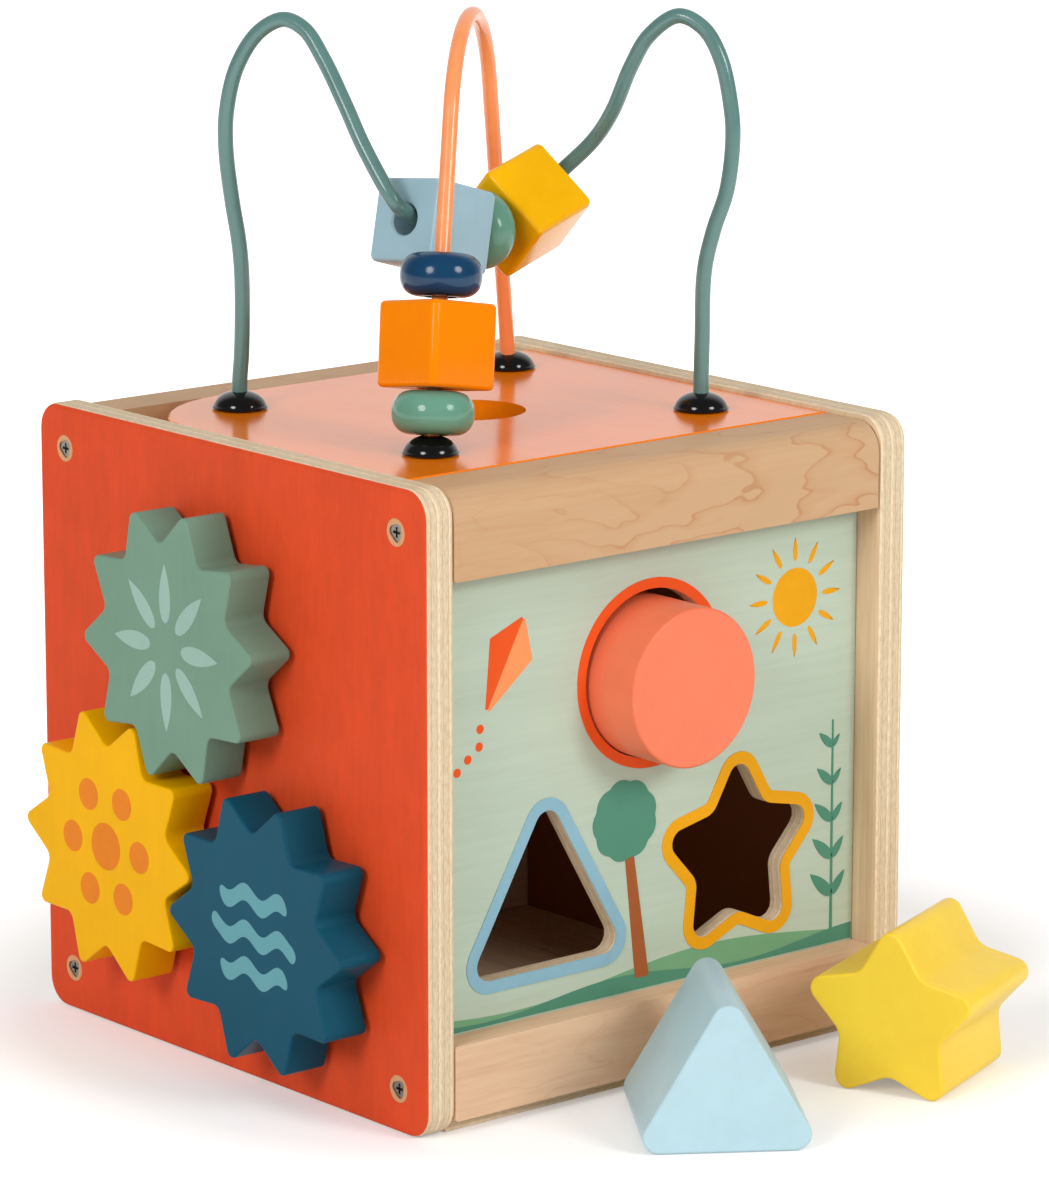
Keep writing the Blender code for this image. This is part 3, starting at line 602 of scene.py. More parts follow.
def ply_layers(tree, axis, start, ply):
    """Edge-on plywood: cream layers of a ply's thickness along an axis, with thin glue lines between.

    The first half of every second layer is paler, and the layers wander a little.
    """
    where = add(tree, "ShaderNodeTexCoord").outputs["Object"]
    depth = maths(tree, "SUBTRACT", coordinate(tree, axis), start)
    wander = spread(tree, noise(tree, where, 60.0, 3.0), -0.12, 0.12)
    count = maths(tree, "ADD", maths(tree, "DIVIDE", depth, ply), wander)
    turns = maths(tree, "FLOORED_MODULO", count, 2.0)
    tone = ramp(tree, turns, [(0.0, CREAM_PLY), (0.5, shade(CREAM_PLY, 0.93))], "CONSTANT")
    lines = [(0.0, WHITE), (0.07, BLACK), (0.93, BLACK), (1.0, WHITE)]
    glue = maths(tree, "MULTIPLY", ramp(tree, maths(tree, "FRACT", count), lines), 0.75)
    stretch = [6.0 if letter == axis else 1.0 for letter in "XYZ"]
    fibre = noise(tree, place_of(tree, stretch), 420.0, 4.0, 0.65)
    fibres = ramp(tree, fibre, [(0.3, PLY_FIBRE), (0.6, WHITE)])
    return mix(tree, 0.6, mix(tree, glue, tone, GLUE_LINE), fibres, "MULTIPLY")


def below(tree, axis, limit, soft=0.15 * MM):
    """1 where a coordinate is below a limit, 0 above it, over a soft step; a minus step swaps the sides."""
    return spread(tree, coordinate(tree, axis), 1.0, 0.0, limit - soft, limit + soft)


def facing(tree, axis):
    """1 on faces square to an axis, 0 on the edges between them."""
    normal = add(tree, "ShaderNodeNewGeometry").outputs["Normal"]
    part = add(tree, "ShaderNodeSeparateXYZ", {"Vector": normal}).outputs[axis]
    return spread(tree, maths(tree, "ABSOLUTE", part), 0.0, 1.0, 0.6, 0.9)


def long_grain(tree, colours, stretch, lines=0.35):
    """Straight wood grain, fine fibres and broad bands both stretched along it, and the fibre factor."""
    fibre = noise(tree, place_of(tree, stretch), 520.0, 6.0, 0.7)
    band = noise(tree, place_of(tree, stretch), 56.0, 3.0, 0.5, 0.6)
    light, dark = colours
    tone = ramp(tree, band, [(0.25, shade(light, 1.03)), (0.75, mean(light, dark, 0.25))])
    return mix(tree, lines, tone, ramp(tree, fibre, [(0.32, dark), (0.6, light)])), fibre


def veneer(tree, grain):
    """Pale face veneer of the plywood, and its fibre factor."""
    return long_grain(tree, (mean(CREAM_PLY, GLUE_LINE, 0.25), GLUE_LINE), grain)


def stained_panel(name):
    """Gear side: red stain with upright grain on its outer face, bare plywood on its edges and inside."""
    finish, tree = start_finish(name, 0.5)
    shades = (shade(RED_STAIN, 1.03), shade(RED_STAIN, 0.80))
    stain, fibre = long_grain(tree, shades, (1.0, 1.0, 0.12), lines=0.22)
    blot = noise(tree, place_of(tree, (1.0, 1.0, 0.6)), 120.0, 6.0, 0.7)
    stain = mix(tree, 0.3, stain, tones(tree, blot, RED_STAIN, 0.9, 1.06, 0.35, 0.65))
    edge = ply_layers(tree, "X", GEAR_SIDE_X, SIDE_PLY)
    bare = mix(tree, facing(tree, "X"), edge, veneer(tree, ALONG_Z)[0])
    face = below(tree, "X", GEAR_SIDE_X + STAIN_DEPTH)
    return end_finish(finish, mix(tree, face, bare, stain), fibre, 0.42, 0.62, 0.25, 0.15 * MM)


def bare_ply(name, axis, start, ply, grain, painted_shade_inside=False):
    """Plain plywood: pale face grain, layers where its edges show, painted brown shade inside the box if
    asked.
    """
    finish, tree = start_finish(name, 0.55)
    face, fibre = veneer(tree, grain)
    if painted_shade_inside:
        # Painted shade: the inner face is darkened to brown, except just behind the front and near the top
        inside = below(tree, axis, start + PAINTED_SHADE_DEPTH)
        behind_front = below(tree, "Y", PANEL_FRONT_Y + PAINTED_SHADE_BEHIND_FRONT, -0.15 * MM)
        under_lid = below(tree, "Z", LID_TOP - PAINTED_SHADE_UNDER_LID)
        inside = maths(tree, "MULTIPLY", maths(tree, "MULTIPLY", inside, behind_front), under_lid)
        face = mix(tree, inside, face, INNER_PAINTED_SHADE)
    edge = ply_layers(tree, axis, start, ply)
    colour = mix(tree, facing(tree, axis), edge, face)
    return end_finish(finish, colour, fibre, 0.45, 0.65, 0.2, 0.15 * MM)


def beech_rail(name, shift, wood, most):
    """Solid rail: growth rings as thin contour lines of a slow noise stretched along X, over fine fibres.

    The rings come and go in patches, and are shown up to a share.
    """
    finish, tree = start_finish(name, 0.48)
    slow = noise(tree, place_of(tree, (0.34, 1.0, 1.0), shift), 34.0, 3.5, 0.45, 0.3)
    part = maths(tree, "FRACT", maths(tree, "MULTIPLY", slow, 10.0))
    line = mean(wood, BEECH_GRAIN, 0.7)
    halo = mean(wood, BEECH_GRAIN, 0.2)
    figure = ramp(tree, part, [(0.0, line), (0.06, halo), (0.3, wood), (0.97, wood), (1.0, line)])
    plain, fibre = long_grain(tree, (wood, mean(wood, BEECH_GRAIN, 0.9)), ALONG_X, lines=0.25)
    patch = noise(tree, place_of(tree, (0.5, 1.0, 1.0), shift), 22.0, 1.0)
    shown = spread(tree, patch, 0.2 * most, most, 0.4, 0.62)
    return end_finish(finish, mix(tree, shown, plain, figure), fibre, 0.40, 0.58, 0.2, 0.12 * MM)


def printed_front(name):
    """Sorter panel: mint print on its front with the grain showing, plywood in the holes and behind."""
    finish, tree = start_finish(name, 0.5)
    mint, fibre = long_grain(tree, (shade(MINT, 1.01), shade(MINT, 0.93)), (0.06, 1.0, 1.0))
    edge = ply_layers(tree, "Y", PANEL_FRONT_Y, PANEL_PLY)
    bare = mix(tree, facing(tree, "Y"), edge, veneer(tree, ALONG_X)[0])
    face = below(tree, "Y", PANEL_FRONT_Y + MINT_DEPTH, 0.05 * MM)
    return end_finish(finish, mix(tree, face, bare, mint), fibre, 0.44, 0.58, 0.12, 0.1 * MM)


def lacquered_lid(name):
    """Lid: orange under a mirror-like lacquer that ripples slightly with the grain."""
    finish, tree = start_finish(name, 0.16, 0.5)
    colour = long_grain(tree, (LID_ORANGE, shade(LID_ORANGE, 0.88)), (1.0, 0.06, 1.0))[0]
    ripple = noise(tree, place_of(tree, (1.0, 0.2, 1.0)), 90.0, 3.0)
    return end_finish(finish, colour, ripple, 0.10, 0.24, 0.05, 0.2 * MM)


def plated_steel(name):
    """Zinc-plated steel: grey metal with fine scratches."""
    finish, tree = start_finish(name, 0.35)
    tree.nodes["Principled BSDF"].inputs["Metallic"].default_value = 1.0
    scratch = noise(tree, place_of(tree, (1.0, 6.0, 1.0)), 900.0, 3.0)
    colour = ramp(tree, scratch, [(0.3, DARK_STEEL), (0.7, LIGHT_STEEL)])
    return end_finish(finish, colour, scratch, 0.25, 0.5)


def moulded(name, colour, roughness):
    """Moulded plastic: even colour with a very fine texture."""
    finish, tree = start_finish(name, roughness, 0.5)
    grain = noise(tree, place_of(tree), 700.0, 3.0)
    tone = tones(tree, grain, colour, 0.9, 1.1)
    return end_finish(finish, tone, grain, roughness - 0.04, roughness + 0.06, 0.04, 0.05 * MM)


def dress(finish, *nodes):
    """Give solids of the frame a finish."""
    for node in nodes:
        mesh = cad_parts[node].data
        mesh.materials.clear()
        mesh.materials.append(finish)


# The box


def make_box():
    """Finishes of the panels, rails, screws and turned hardware, which keep their solid shapes."""
    dress(stained_panel("red_stained_side"), "left_side_panel")
    right_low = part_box("right_side_panel")[0].x
    # The right side carries painted shade on its inner face
    dress(bare_ply("bare_side_with_painted_shade", "X", right_low, SIDE_PLY, ALONG_Z, True), "right_side_panel")
    dress(bare_ply("bare_back", "Y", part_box("back_panel")[0].y, PANEL_PLY, ALONG_X), "back_panel")
    dress(bare_ply("bare_board", "Z", 0.0, BOARD_PLY, ALONG_Y), "bottom_board")
    for node, shift in RAIL_SHIFTS.items():
        # Bottom rails take a lighter beech: painted light from the floor below
        wood, most = (BEECH, TOP_FIGURE) if node.startswith("top") else (BEECH_PAINTED_BOUNCE_LIGHT, BOTTOM_FIGURE)
        dress(beech_rail(f"beech_{node}", shift, wood, most), node)
    dress(printed_front("mint_front"), "sorter_panel")
    dress(lacquered_lid("orange_lid"), "lid_panel")
    screws = [f"{side}_screw_{number}" for side in ("left", "right") for number in (1, 2, 3, 4)]
    dress(plated_steel("zinc_plate"), *screws, *[f"{foot}_wire_nut" for foot in FEET])
    spacers = [f"{gear}_{part}" for part in ("washer", "retainer") for gear in GEARS]
    dress(moulded("white_nylon", NYLON, 0.45), *spacers)
    dress(bare_ply("beech_pegs", "X", 0.0, PEG_PLY, ALONG_X), *[f"{gear}_axle" for gear in GEARS])


def make_screw_sinks():
    """Torn bare wood round each side screw: a wavy ring over its head's rim, just below the panel's face."""
    wood = paint("torn_wood", TORN_WOOD, 0.6)
    angle = full_turn(64)
    inner = SINK_INNER * (1 + SINK_WAVE * np.sin(3 * angle + 1))[:, None] * bearings(angle)
    outer = SINK_OUTER * bearings(angle)
    for side, out in (("left", -1), ("right", 1)):
        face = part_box(f"{side}_side_panel")[max(out, 0)].x
        for number in range(1, 5):
            low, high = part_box(f"{side}_screw_{number}")
            centre = (face, (low.y + high.y) / 2, (low.z + high.z) / 2)
            plane = (centre, (0, 1, 0), (0, 0, 1), (out, 0, 0))
            points = ring_slab(inner, outer, SINK_LOW, SINK_HIGH, plane)
            surface(f"{side}_screw_sink_{number}", points, wood, "box", "join")


# Gears


def gear_places():
    """Centre (y, z) and tooth phase of each gear: a neighbour's valley faces the yellow gear's tooth."""
    places = {"yellow": (YELLOW_AT, YELLOW_PHASE)}
    for name, bearing in (("green", GREEN_BEARING), ("blue", BLUE_BEARING)):
        centre = YELLOW_AT + GEAR_DISTANCE * bearings(bearing)
        places[name] = (centre, bearing + math.pi + (bearing - YELLOW_PHASE) + math.pi / GEAR_TEETH)
    return places


def make_gears():
    """Gears with softened teeth and a printed motif on each face."""
    looks = {
        "green": (GEAR_GREEN, GEAR_GREEN_PRINT, petal_ring(), "green_paint"),
        "yellow": (GEAR_YELLOW, GEAR_YELLOW_PRINT, dot_ring(), "yellow_paint"),
        "blue": (GEAR_BLUE, GEAR_BLUE_PRINT, wave_rows(), "dark_blue_paint"),
    }
    thick = GEAR_BACK_X - GEAR_FACE_X - PRINT_THICK
    for name, (centre, phase) in gear_places().items():
        colour, print_colour, motif, slot = looks[name]
        body = f"{name}_gear_turning"
        finish = paint(f"{name}_gear_paint", colour, 0.3, (1.0, 1.0, 0.12))
        plane = ((GEAR_BACK_X, *centre), (0, 1, 0), (0, 0, 1), (-1, 0, 0))
        points = slab(gear_outline(phase), 0.0, thick, GEAR_RIM, plane)
        gear = surface(f"{name}_gear_wheel", points, finish, body)
        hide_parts(f"{name}_gear")
        ink = paint(f"{name}_gear_print_ink", print_colour, 0.4)
        for number, outline in enumerate(motif):
            points = slab(outline, thick - PRINT_SINK, thick + PRINT_THICK, 0.0, plane, 1)
            surface(f"{name}_gear_print_{number + 1}", points, ink, body)


def drop_outline(length, width, count=48):
    """A drop from 0 to a length along +V, t along it: half width = width sqrt(t) (1 - t) (1.2 + 0.4 t)."""
    t = np.linspace(0, 1, count // 2)
    half = width * np.sqrt(t) * (1 - t) * (1.2 + 0.4 * t)
    right = np.stack([half, t * length], 1)
    left = np.stack([-half, t * length], 1)[::-1]
    return np.concatenate([right, left[1:-1]])


def turned_about(outline, angle):
    """A flat outline turned about the middle."""
    c, s = math.cos(angle), math.sin(angle)
    return outline @ np.array([[c, s], [-s, c]])


def petal_ring(count=8, start=7.0 * MM, length=17.0 * MM, width=5.0 * MM):
    """Straight petals in a ring, their broad ends inwards."""
    petal = drop_outline(length, width) + np.array([0.0, start])
    return [turned_about(petal, angle) for angle in full_turn(count)]


def dot_ring(count=6, reach=16.0 * MM, radius=4.6 * MM):
    """A ring of equal dots round one larger dot."""
    ring = [circle(radius, spot, 48) for spot in circle(reach, count=count)]
    return ring + [circle(1.5 * radius, count=64)]


def wave_rows(
    rows=3, reach=19.0 * MM, height=1.7 * MM, pitch=10.5 * MM, length=15.0 * MM, half_width=2.5 * MM
):
    """Wavy stripes with round ends, one above the other: a band of even width along a sine."""
    stripes = []
    for row in range(rows):
        half = reach * (1.0 if row == rows // 2 else 0.8)
        u = half * np.sin(np.linspace(-np.pi / 2, np.pi / 2, 80))
        middle = (row - (rows - 1) / 2) * pitch + height * np.sin(2 * np.pi * u / length)
        end = np.clip((half - np.abs(u)) / half_width, 0, 1)
        thick = half_width * np.sqrt(np.clip(1 - (1 - end) ** 2, 0.004, 1))
        lower = np.stack([u, middle - thick], 1)
        upper = np.stack([u, middle + thick], 1)[::-1]
        stripes.append(np.concatenate([lower, upper]))
    return stripes


# Sorter front


def front_print(name, outline, ink, lift=1):
    """A printed patch on the sorter panel, a number of ink layers thick."""
    points = slab(outline, -PRINT_SINK, lift * PRINT_THICK, 0.0, FRONT_PLANE, 1)
    surface(name, points, ink, "box")


def make_front_prints():
    """Coloured borders round the holes and a plain scene: hills, a tree, a sun, a kite, a leafy stem."""
    borders = (
        ("ring_border", circle(ROUND_HOLE, ROUND_AT), RING_WIDTH, RING_RED),
        ("triangle_border", triangle_outline(TRIANGLE_SIDE, TRIANGLE_AT), BORDER_WIDTH, BORDER_BLUE),
        ("star_border", star_outline(1.0, STAR_AT), BORDER_WIDTH, BORDER_AMBER),
    )
    for name, hole, width, colour in borders:
        edge = grown(hole, PRINT_SINK)
        points = ring_slab(edge, grown(edge, width), -PRINT_SINK, 4 * PRINT_THICK, FRONT_PLANE)
        surface(name, points, paint(f"{name}_ink", colour, 0.42), "box", "join")
    make_hills()
    make_tree()
    make_sun()
    make_kite()
    make_leaves()


def hill_band(low, rise, length, start):
    """A band from the panel's lower edge up to low + rise sin(x / length + start)."""
    x = np.linspace(-PANEL_HALF, PANEL_HALF, 90)
    top = np.stack([x, low + rise * np.sin(x / length + start)], 1)[::-1]
    foot = np.stack([x[[0, -1]], np.full(2, PANEL_LOW)], 1)
    return np.concatenate([foot, top])


def make_hills():
    """Two low rolling hills along the bottom, the near one printed over the far one."""
    far = hill_band(31.0 * MM, 3.0 * MM, 23.0 * MM, 0.6)
    front_print("print_far_hill", far, paint("far_hill_ink", HILL_GREEN))
    near = hill_band(28.6 * MM, 1.9 * MM, 15.0 * MM, 2.4)
    front_print("print_near_hill", near, paint("near_hill_ink", LEAF_GREEN), 2)


def make_tree(radius=11.0 * MM, scallop=0.07, scallops=9):
    """A round tree between the lower holes: a tapered trunk under a scalloped crown."""
    corners = np.array([(-5.5, 29.0), (-0.5, 29.0), (-7.0, 70.0), (-10.0, 70.0)]) * MM
    front_print("print_trunk", rounded_polygon(corners, 0.6 * MM, 4), paint("trunk_ink", TRUNK_BROWN), 3)
    angle = full_turn(144)
    reach = radius * (1 + scallop * np.abs(np.sin(scallops / 2 * angle)))
    crown = np.array([-9.5, 75.5]) * MM + reach[:, None] * bearings(angle)
    front_print("print_crown", crown, paint("crown_ink", LEAF_GREEN), 4)


def make_sun(rays=12, radius=8.5 * MM, start=10.5 * MM, length=7.0 * MM, width=1.6 * MM):
    """A sun of a disc and a ring of drops in the upper right."""
    ink = paint("sun_ink", BORDER_AMBER)
    centre = np.array([54.0, 130.0]) * MM
    front_print("print_sun", circle(radius, centre), ink)
    for number, ray in enumerate(petal_ring(rays, start, length, width)):
        front_print(f"print_ray_{number + 1}", ray + centre, ink)


def make_kite(dots=4, radius=1.3 * MM, swing=2.0 * MM, start=20.5 * MM, pitch=4.5 * MM):
    """A paper kite in the upper left: two halves and a tail of dots on a sine."""
    centre = np.array([-52.0, 128.0]) * MM
    tilt = math.radians(-28)
    halves = {"left": (-8.5, RING_RED), "right": (8.5, WIRE_ORANGE)}
    for side, (reach, colour) in halves.items():
        corners = np.array([(0.0, 13.0), (0.0, -17.0), (reach, 3.0)]) * MM
        corners = corners if reach > 0 else corners[::-1]
        half = turned_about(rounded_polygon(corners, 0.5 * MM, 4), tilt) + centre
        front_print(f"print_kite_{side}", half, paint(f"kite_{side}_ink", colour))
    ink = paint("kite_tail_ink", RING_RED)
    for number in range(dots):
        step = np.array([swing * math.sin(1.6 * number), -start - pitch * number])
        spot = turned_about(step[None], tilt)[0] + centre
        front_print(f"print_kite_tail_{number + 1}", circle(radius, spot, 32), ink)


def make_leaves(pairs=5, length=11.0 * MM, width=3.6 * MM, low=40.0 * MM, pitch=11.0 * MM):
    """A leafy stem up the right side: pairs of drops on a thin stalk, smaller upwards."""
    ink = paint("leaf_ink", LEAF_GREEN)
    corners = np.array([(68.8, 28.0), (69.8, 28.0), (69.6, 92.0), (69.0, 92.0)]) * MM
    front_print("print_stalk", rounded_polygon(corners, 0.2 * MM, 3), ink, 3)
    leaf = drop_outline(length, width)
    for number in range(pairs):
        base = np.array([69.3 * MM, low + pitch * number])
        for side, lean, smaller in (("left", 48, 0.0), ("right", -38, 0.25)):
            size = 1.0 - 0.09 * number - smaller
            shape = turned_about(leaf * size, math.radians(lean)) + base
            front_print(f"print_leaf_{side}_{number + 1}", shape, ink, 4)


# Blocks


def standing(outline, place, turn):
    """Plane of a block's front that stands an outline on the floor at a place, turned about the upright."""
    across = (math.cos(turn), math.sin(turn), 0)
    back = (-math.sin(turn), math.cos(turn), 0)
    return ((*place, -outline[:, 1].min()), across, (0, 0, 1), back)


def make_blocks():
    """Painted blocks: cylinder in its hole, triangle and star on the floor."""
    low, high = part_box("cylinder_block")
    centre = ((low.x + high.x) / 2, low.y, (low.z + high.z) / 2)
    in_hole = (centre, (1, 0, 0), (0, 0, 1), (0, 1, 0))
    disc = circle(CYLINDER_RADIUS, count=128)
    triangle = triangle_outline(TRIANGLE_BLOCK_SIDE)
    triangle_plane = standing(triangle, TRIANGLE_BLOCK_AT, TRIANGLE_BLOCK_TURN)
    star = star_outline(STAR_BLOCK_SCALE)
    star_plane = standing(star, STAR_BLOCK_AT, STAR_BLOCK_TURN)
    for name, outline, length, plane, colour, slot in (
        ("cylinder", disc, high.y - low.y, in_hole, CORAL, "coral_paint"),
        ("triangle", triangle, TRIANGLE_BLOCK_LENGTH, triangle_plane, SKY, "sky_paint"),
        ("star", star, STAR_BLOCK_LENGTH, star_plane, SUN, "sun_paint"),
    ):
        finish = paint(f"{name}_block_paint", colour, gloss=BLOCK_GLOSS)
        points = slab(outline, BLOCK_INSET, length, BLOCK_RIM, plane)
        block = surface(f"{name}_painted_block", points, finish, f"{name}_loose_block")
        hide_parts(f"{name}_block")


# Bead maze


def foot_point(name):
    """Middle of a foot on the lid's top."""
    return np.array([*FEET[name], LID_TOP])


def make_feet():
    """Black domes on a thin flange: most of a quarter ellipse, turned about the wire."""
    black = moulded("black_plastic", BLACK_PLASTIC, 0.12)
    dome = np.array([DOME_RADIUS, DOME_HEIGHT]) * bearings(np.linspace(0, DOME_TURN, 16))
    flange = np.array([FOOT_RADIUS, 0.0]) + np.array(FLANGE_STEPS) * MM
    profile = np.concatenate([flange, dome[1:] + np.array([0.0, DOME_LOW])])
    for name in FEET:
        points = turned(profile, foot_point(name) + FOOT_GAP * UP, UP)
        foot = surface(f"{name}_dome_foot", points, black, "lid")
        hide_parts(f"{name}_wire_foot")


def arch_span():
    """Level step from the front foot to the back foot."""
    return foot_point("back") - foot_point("front")


def arch_lean():
    """Lean of the arch's legs: a leg through the foot touches the circle of the top arc."""
    half_span = np.linalg.norm(arch_span()) / 2
    drop = ARCH_TOP - LID_TOP - ARCH_RADIUS
    return math.atan2(half_span, drop) - math.asin(ARCH_RADIUS / math.hypot(half_span, drop))


def leaning(lean):
    """Upward direction that leans from the front foot towards the back foot."""
    return unit(arch_span()) * math.sin(lean) + UP * math.cos(lean)


def arch_path():
    """Tail, leaning leg, round top, leaning leg, tail."""
    front, back = foot_point("front"), foot_point("back")
    centre = (front + back) / 2 * np.array([1, 1, 0]) + UP * (ARCH_TOP - ARCH_RADIUS)
    angle = np.linspace(np.pi - arch_lean(), arch_lean(), 72)[:, None]
    top = centre + ARCH_RADIUS * (np.cos(angle) * unit(arch_span()) + np.sin(angle) * UP)
    share = np.linspace(0, 1, 12, endpoint=False)[:, None]
    rising = front + share * (top[0] - front)
    falling = back + share * (top[-1] - back)
    return np.concatenate([[front - UP * WIRE_TAIL], rising, top, falling[::-1], [back - UP * WIRE_TAIL]])


def dip_point(angle):
    """Point of the dip's circle at an angle from its lowest point."""
    angle = np.asarray(angle)[..., None]
    return DIP_PIVOT + DIP_RADIUS * (np.sin(angle) * DIP_DIRECTION - np.cos(angle) * UP)


def loop_path():
    """Left loop, dip on a circle, right loop, as a smooth curve, and the level direction square to it."""
    left, right = foot_point("left"), foot_point("right")
    across = unit(right - left)
    away = np.array([-across[1], across[0], 0.0])
    axes = np.stack([across, away, UP])
    left_loop = left + np.array(LEFT_LOOP) * MM @ axes
    right_loop = right + (np.array(RIGHT_LOOP) * MM * np.array([-1, -1, 1])) @ axes
    dip = dip_point(np.linspace(-DIP_HALF, DIP_HALF, 13))
    start = [left - UP * WIRE_TAIL, left]
    end = [right, right - UP * WIRE_TAIL]
    return through(np.concatenate([start, left_loop, dip, right_loop[::-1], end])), away


def make_wires():
    """Enamelled wires as fine tubes."""
    points = tube(arch_path(), WIRE_RADIUS, np.cross(unit(arch_span()), UP))
    arch = surface("orange_arch", points, enamel("orange_enamel", WIRE_ORANGE), "lid")
    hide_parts("orange_wire")
    path, away = loop_path()
    points = tube(path, WIRE_RADIUS, away)
    loops = surface("green_loops", points, enamel("green_enamel", WIRE_GREEN), "lid")
    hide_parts("green_wire")


def disc_bead(centre, axis):
    """A disc with a full round rim and small rounded lips at its hole, turned about an axis.

    The rim is a squarish half circle: out = half cos(a)^p, up = half |sin(a)|^p with the sign of a.
    """
    half = DISC_THICK / 2
    rim = np.linspace(-np.pi / 2, np.pi / 2, 25)
    out = half * np.clip(np.cos(rim), 0, 1) ** DISC_POWER
    up = half * np.sign(rim) * np.abs(np.sin(rim)) ** DISC_POWER
    outer = np.stack([DISC_RADIUS - half + out, up], 1)
    turn = np.linspace(0, np.pi / 2, 5)
    top_lip = np.array([DISC_HOLE, half]) + DISC_LIP * np.stack([1 - np.sin(turn), np.cos(turn) - 1], 1)
    bottom_lip = top_lip[::-1] * np.array([1, -1])
    return turned(np.concatenate([outer, top_lip, bottom_lip]), centre, axis)


def cube_bead(centre, first, second, axis, count=128):
    """A cube with rounded edges round a hole.

    Rows run from the hole's lower lip over the bottom face, the rounded side and the top face back to the
    hole. The hole's rows lie on circles. The others lie on a square q(angle) whose corners are rounded to
    inner + r unit(q - inner), where inner is q kept within the square smaller by r. Angles crowd at corners.
    """
    half = BEAD_CUBE / 2
    even = full_turn(count)
    ring = bearings(even + CORNER_CROWDING * np.sin(4 * even))
    sharp = half * ring / np.abs(ring).max(1, keepdims=True)
    inner = np.clip(sharp, BEAD_CORNER - half, half - BEAD_CORNER)
    square = inner + BEAD_CORNER * unit(sharp - inner)
    outer, heights = rounded_rows(square, -half, half, BEAD_RIM, 6, BEAD_FLAT)
    hole = np.stack([ring * (CUBE_HOLE + share * CUBE_LIP) for share in (0.0, 1.0, 1.4)])
    flat = np.concatenate([hole, outer, hole[::-1]])
    depths = np.concatenate([[CUBE_LIP - half, -half, -half], heights, [half, half, half - CUBE_LIP]])
    return on_plane(flat, depths, (centre, first, second, axis))


def make_arch_beads():
    """Green disc, orange cube and dark blue disc on the front leg of the arch."""
    looks = {
        "front_green_disc": (BEAD_GREEN, "green_paint"),
        "orange_cube": (BEAD_ORANGE, "orange_paint"),
        "dark_blue_disc": (BEAD_BLUE, "dark_blue_paint"),
    }
    axis = leaning(arch_lean() - ARCH_BEAD_SAG)
    for name, along in ARCH_BEADS.items():
        centre = foot_point("front") + leaning(arch_lean()) * along
        if name == "orange_cube":
            points = cube_bead(centre, *roll_axes(axis, ORANGE_CUBE_ROLL), axis)
        else:
            points = disc_bead(centre, axis)
        add_bead(name, points, *looks[name])


def roll_axes(axis, roll):
    """Two axes square to a bead's axis: those of the shortest turn from upright, rolled by an angle."""
    x, y, z = np.cross(UP, axis)
    skew = np.array([[0, -z, y], [z, 0, -x], [-y, x, 0]])
    matrix = np.eye(3) + skew + skew @ skew / (1 + axis[2])
    return rolled(matrix[:, 0], matrix[:, 1], roll)


def rolled(first, second, roll):
    """Two axes turned in their own plane."""
    c, s = math.cos(roll), math.sin(roll)
    return first * c + second * s, second * c - first * s


def add_bead(name, points, colour, slot):
    """One painted bead that stands for its solid; the discs are glossier."""
    gloss = DISC_GLOSS if name.endswith("disc") else CUBE_GLOSS
    finish = paint(f"{name}_paint", colour, roughness=0.14, gloss=gloss)
    bead = surface(f"{name}_bead", points, finish, f"{name}_bead", "join")
    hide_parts(name)


def dip_cube_axes(bearing, slope, roll):
    """A cube's axes on the dip: the hole follows a bearing and slope, the first is rolled from downward."""
    b, e = math.radians(bearing), math.radians(slope)
    axis = np.array([math.cos(b) * math.cos(e), math.sin(b) * math.cos(e), math.sin(e)])
    down = unit(axis * axis[2] - UP)
    return (*rolled(down, np.cross(axis, down), math.radians(roll)), axis)


def make_dip_beads():
    """Light blue cube, green disc and yellow cube on the dip; each cube stops just short of the disc."""
    flat = DISC_RADIUS - DISC_THICK / 2
    step = math.asin((BEAD_CUBE / 2 + DISC_THICK / 2 + BEAD_GAP) / (DIP_RADIUS + DIP_HANG - flat))
    for name, angle, colour, slot in (
        ("light_blue_cube", -step, BEAD_SKY, "light_blue_paint"),
        ("middle_green_disc", 0.0, BEAD_GREEN, "green_paint"),
        ("yellow_cube", step, BEAD_YELLOW, "yellow_paint"),
    ):
        centre = dip_point(angle) + unit(dip_point(angle) - DIP_PIVOT) * DIP_HANG
        if name in DIP_CUBES:
            points = cube_bead(centre, *dip_cube_axes(*DIP_CUBES[name]))
        else:
            points = disc_bead(centre, DIP_DIRECTION)
        add_bead(name, points, colour, slot)


# Stage, light and camera


def make_stage():
    """A white floor that keeps the shadow near the cube and glows further out."""
    mesh = bpy.data.meshes.new("floor")
    sides = ((-1, -1), (1, -1), (1, 1), (-1, 1))
    mesh.from_pydata([(x * FLOOR_SIZE, y * FLOOR_SIZE, FLOOR_Z) for x, y in sides], [], [(0, 1, 2, 3)])
    floor = put("floor", mesh)
    finish, tree = start_finish("white_floor", 1.0)
    tree.nodes.clear()
    diffuse = add(tree, "ShaderNodeBsdfDiffuse", {"Color": FLOOR_WHITE})
    spot = place_of(tree, shift=FLOOR_GLOW_SHIFT)
    reach = add(tree, "ShaderNodeVectorMath", {0: spot}, operation="LENGTH").outputs["Value"]
    level = spread(tree, reach, FLOOR_GLOW, FLOOR_GLOW_FAR, *FLOOR_GLOW_REACH)
    seen = rays(tree, "Is Camera Ray", "Is Glossy Ray", "Is Transmission Ray")
    strength = maths(tree, "MULTIPLY", seen, level)
    glow = add(tree, "ShaderNodeEmission", {"Color": (1, 1, 1, 1), "Strength": strength})
    both = add(tree, "ShaderNodeAddShader", {0: diffuse.outputs[0], 1: glow.outputs[0]})
    add(tree, "ShaderNodeOutputMaterial", {"Surface": both.outputs[0]})
    mesh.materials.append(finish)


def rays(tree, *kinds):
    """1 for rays of any of these kinds, 0 for the others."""
    path = add(tree, "ShaderNodeLightPath")
    found = path.outputs[kinds[0]]
    for kind in kinds[1:]:
        found = maths(tree, "MAXIMUM", found, path.outputs[kind])
    return found


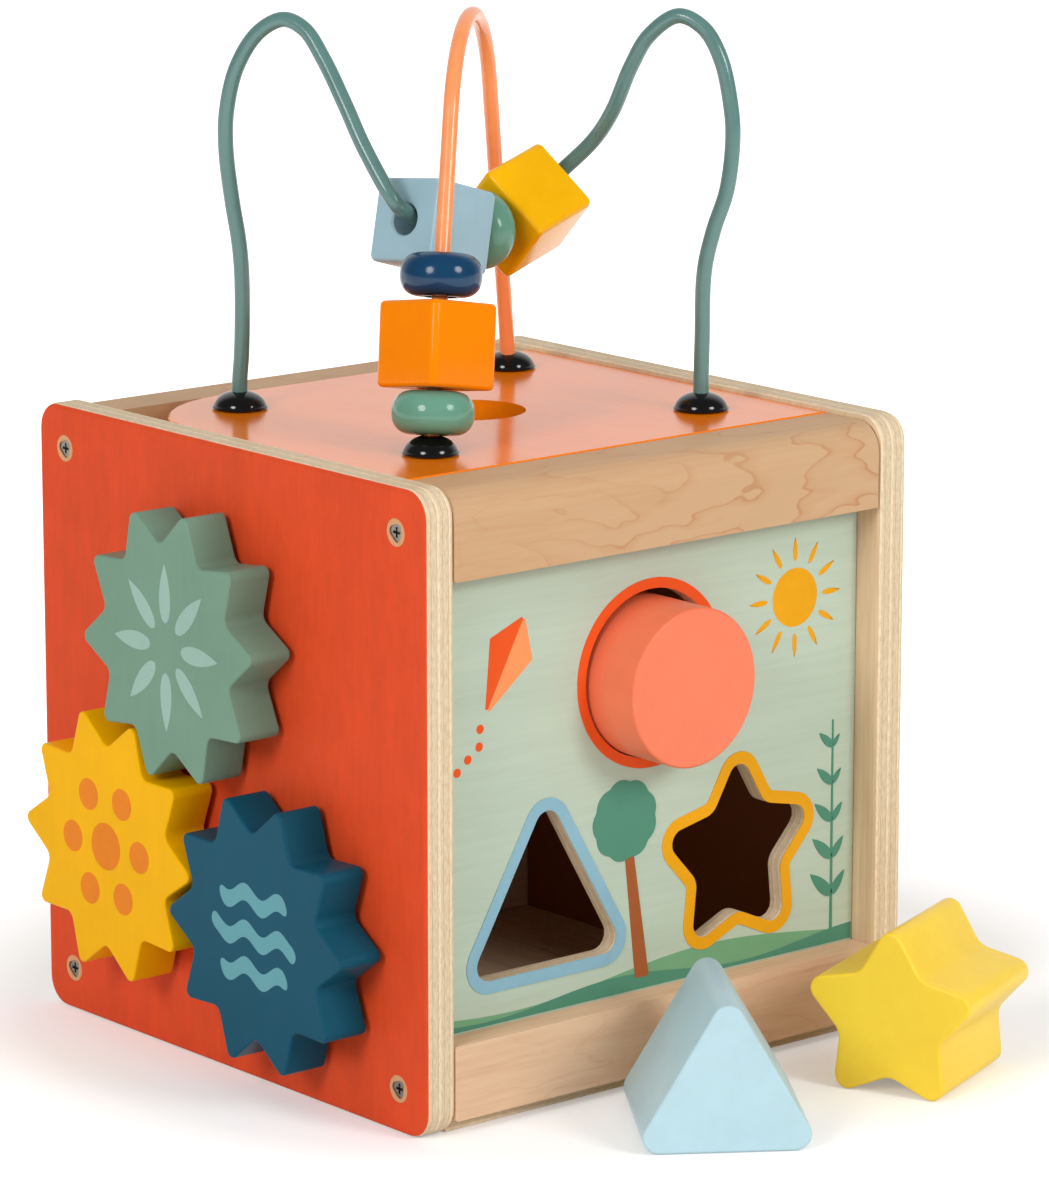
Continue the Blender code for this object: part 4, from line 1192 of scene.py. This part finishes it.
def make_light():
    """Two soft boxes left and right of the camera, a white backdrop behind and a dimmer room in front.

    Camera rays see white all round. Reflections see the backdrop's white behind the cube and fade to the
    room's level in front.
    """
    world = bpy.data.worlds.new("white_surround")
    bpy.context.scene.world = world
    world.use_nodes = True
    tree = world.node_tree
    background = tree.nodes["Background"]
    background.inputs["Color"].default_value = (1, 1, 1, 1)
    sides = {0: add(tree, "ShaderNodeTexCoord").outputs["Generated"], 1: BACKDROP_SIDE}
    behind = add(tree, "ShaderNodeVectorMath", sides, operation="DOT_PRODUCT").outputs["Value"]
    mirrored = spread(tree, behind, ROOM_LEVEL, 1.0, *BACKDROP_FADE)
    glossy = rays(tree, "Is Glossy Ray", "Is Transmission Ray")
    level = add(tree, "ShaderNodeMix", {0: glossy, 2: FILL_LEVEL, 3: mirrored}).outputs[0]
    level = add(tree, "ShaderNodeMix", {0: rays(tree, "Is Camera Ray"), 2: level, 3: 1.0}).outputs[0]
    tree.links.new(level, background.inputs["Strength"])
    for name, azimuth in (("left_box", LEFT_BOX_AZIMUTH), ("right_box", RIGHT_BOX_AZIMUTH)):
        a, e = math.radians(azimuth), math.radians(BOX_ELEVATION)
        away = np.array([math.sin(a) * math.cos(e), -math.cos(a) * math.cos(e), math.sin(e)])
        lamp = bpy.data.lights.new(name, "AREA")
        lamp.shape = "DISK"
        lamp.size = BOX_SIZE
        lamp.energy = BOX_POWER
        box = put(name, lamp)
        box.location = away * BOX_DISTANCE + UP * BOX_AIM
        box.rotation_euler = (math.pi / 2 - e, 0, a)


def make_camera():
    """The photograph's camera."""
    data = bpy.data.cameras.new("photo_camera")
    data.sensor_fit = "HORIZONTAL"
    data.sensor_width = CAMERA_SENSOR
    data.lens = CAMERA_LENS
    data.clip_start = 0.05
    camera = put("photo_camera", data)
    camera.location = CAMERA_AT
    camera.rotation_euler = (math.pi / 2 - CAMERA_ELEVATION, 0, CAMERA_AZIMUTH)
    bpy.context.scene.camera = camera


bpy.context.scene.view_settings.view_transform = "Standard"
make_camera()
make_stage()
make_light()
make_box()
make_screw_sinks()
make_gears()
make_front_prints()
make_blocks()
make_feet()
make_wires()
make_arch_beads()
make_dip_beads()
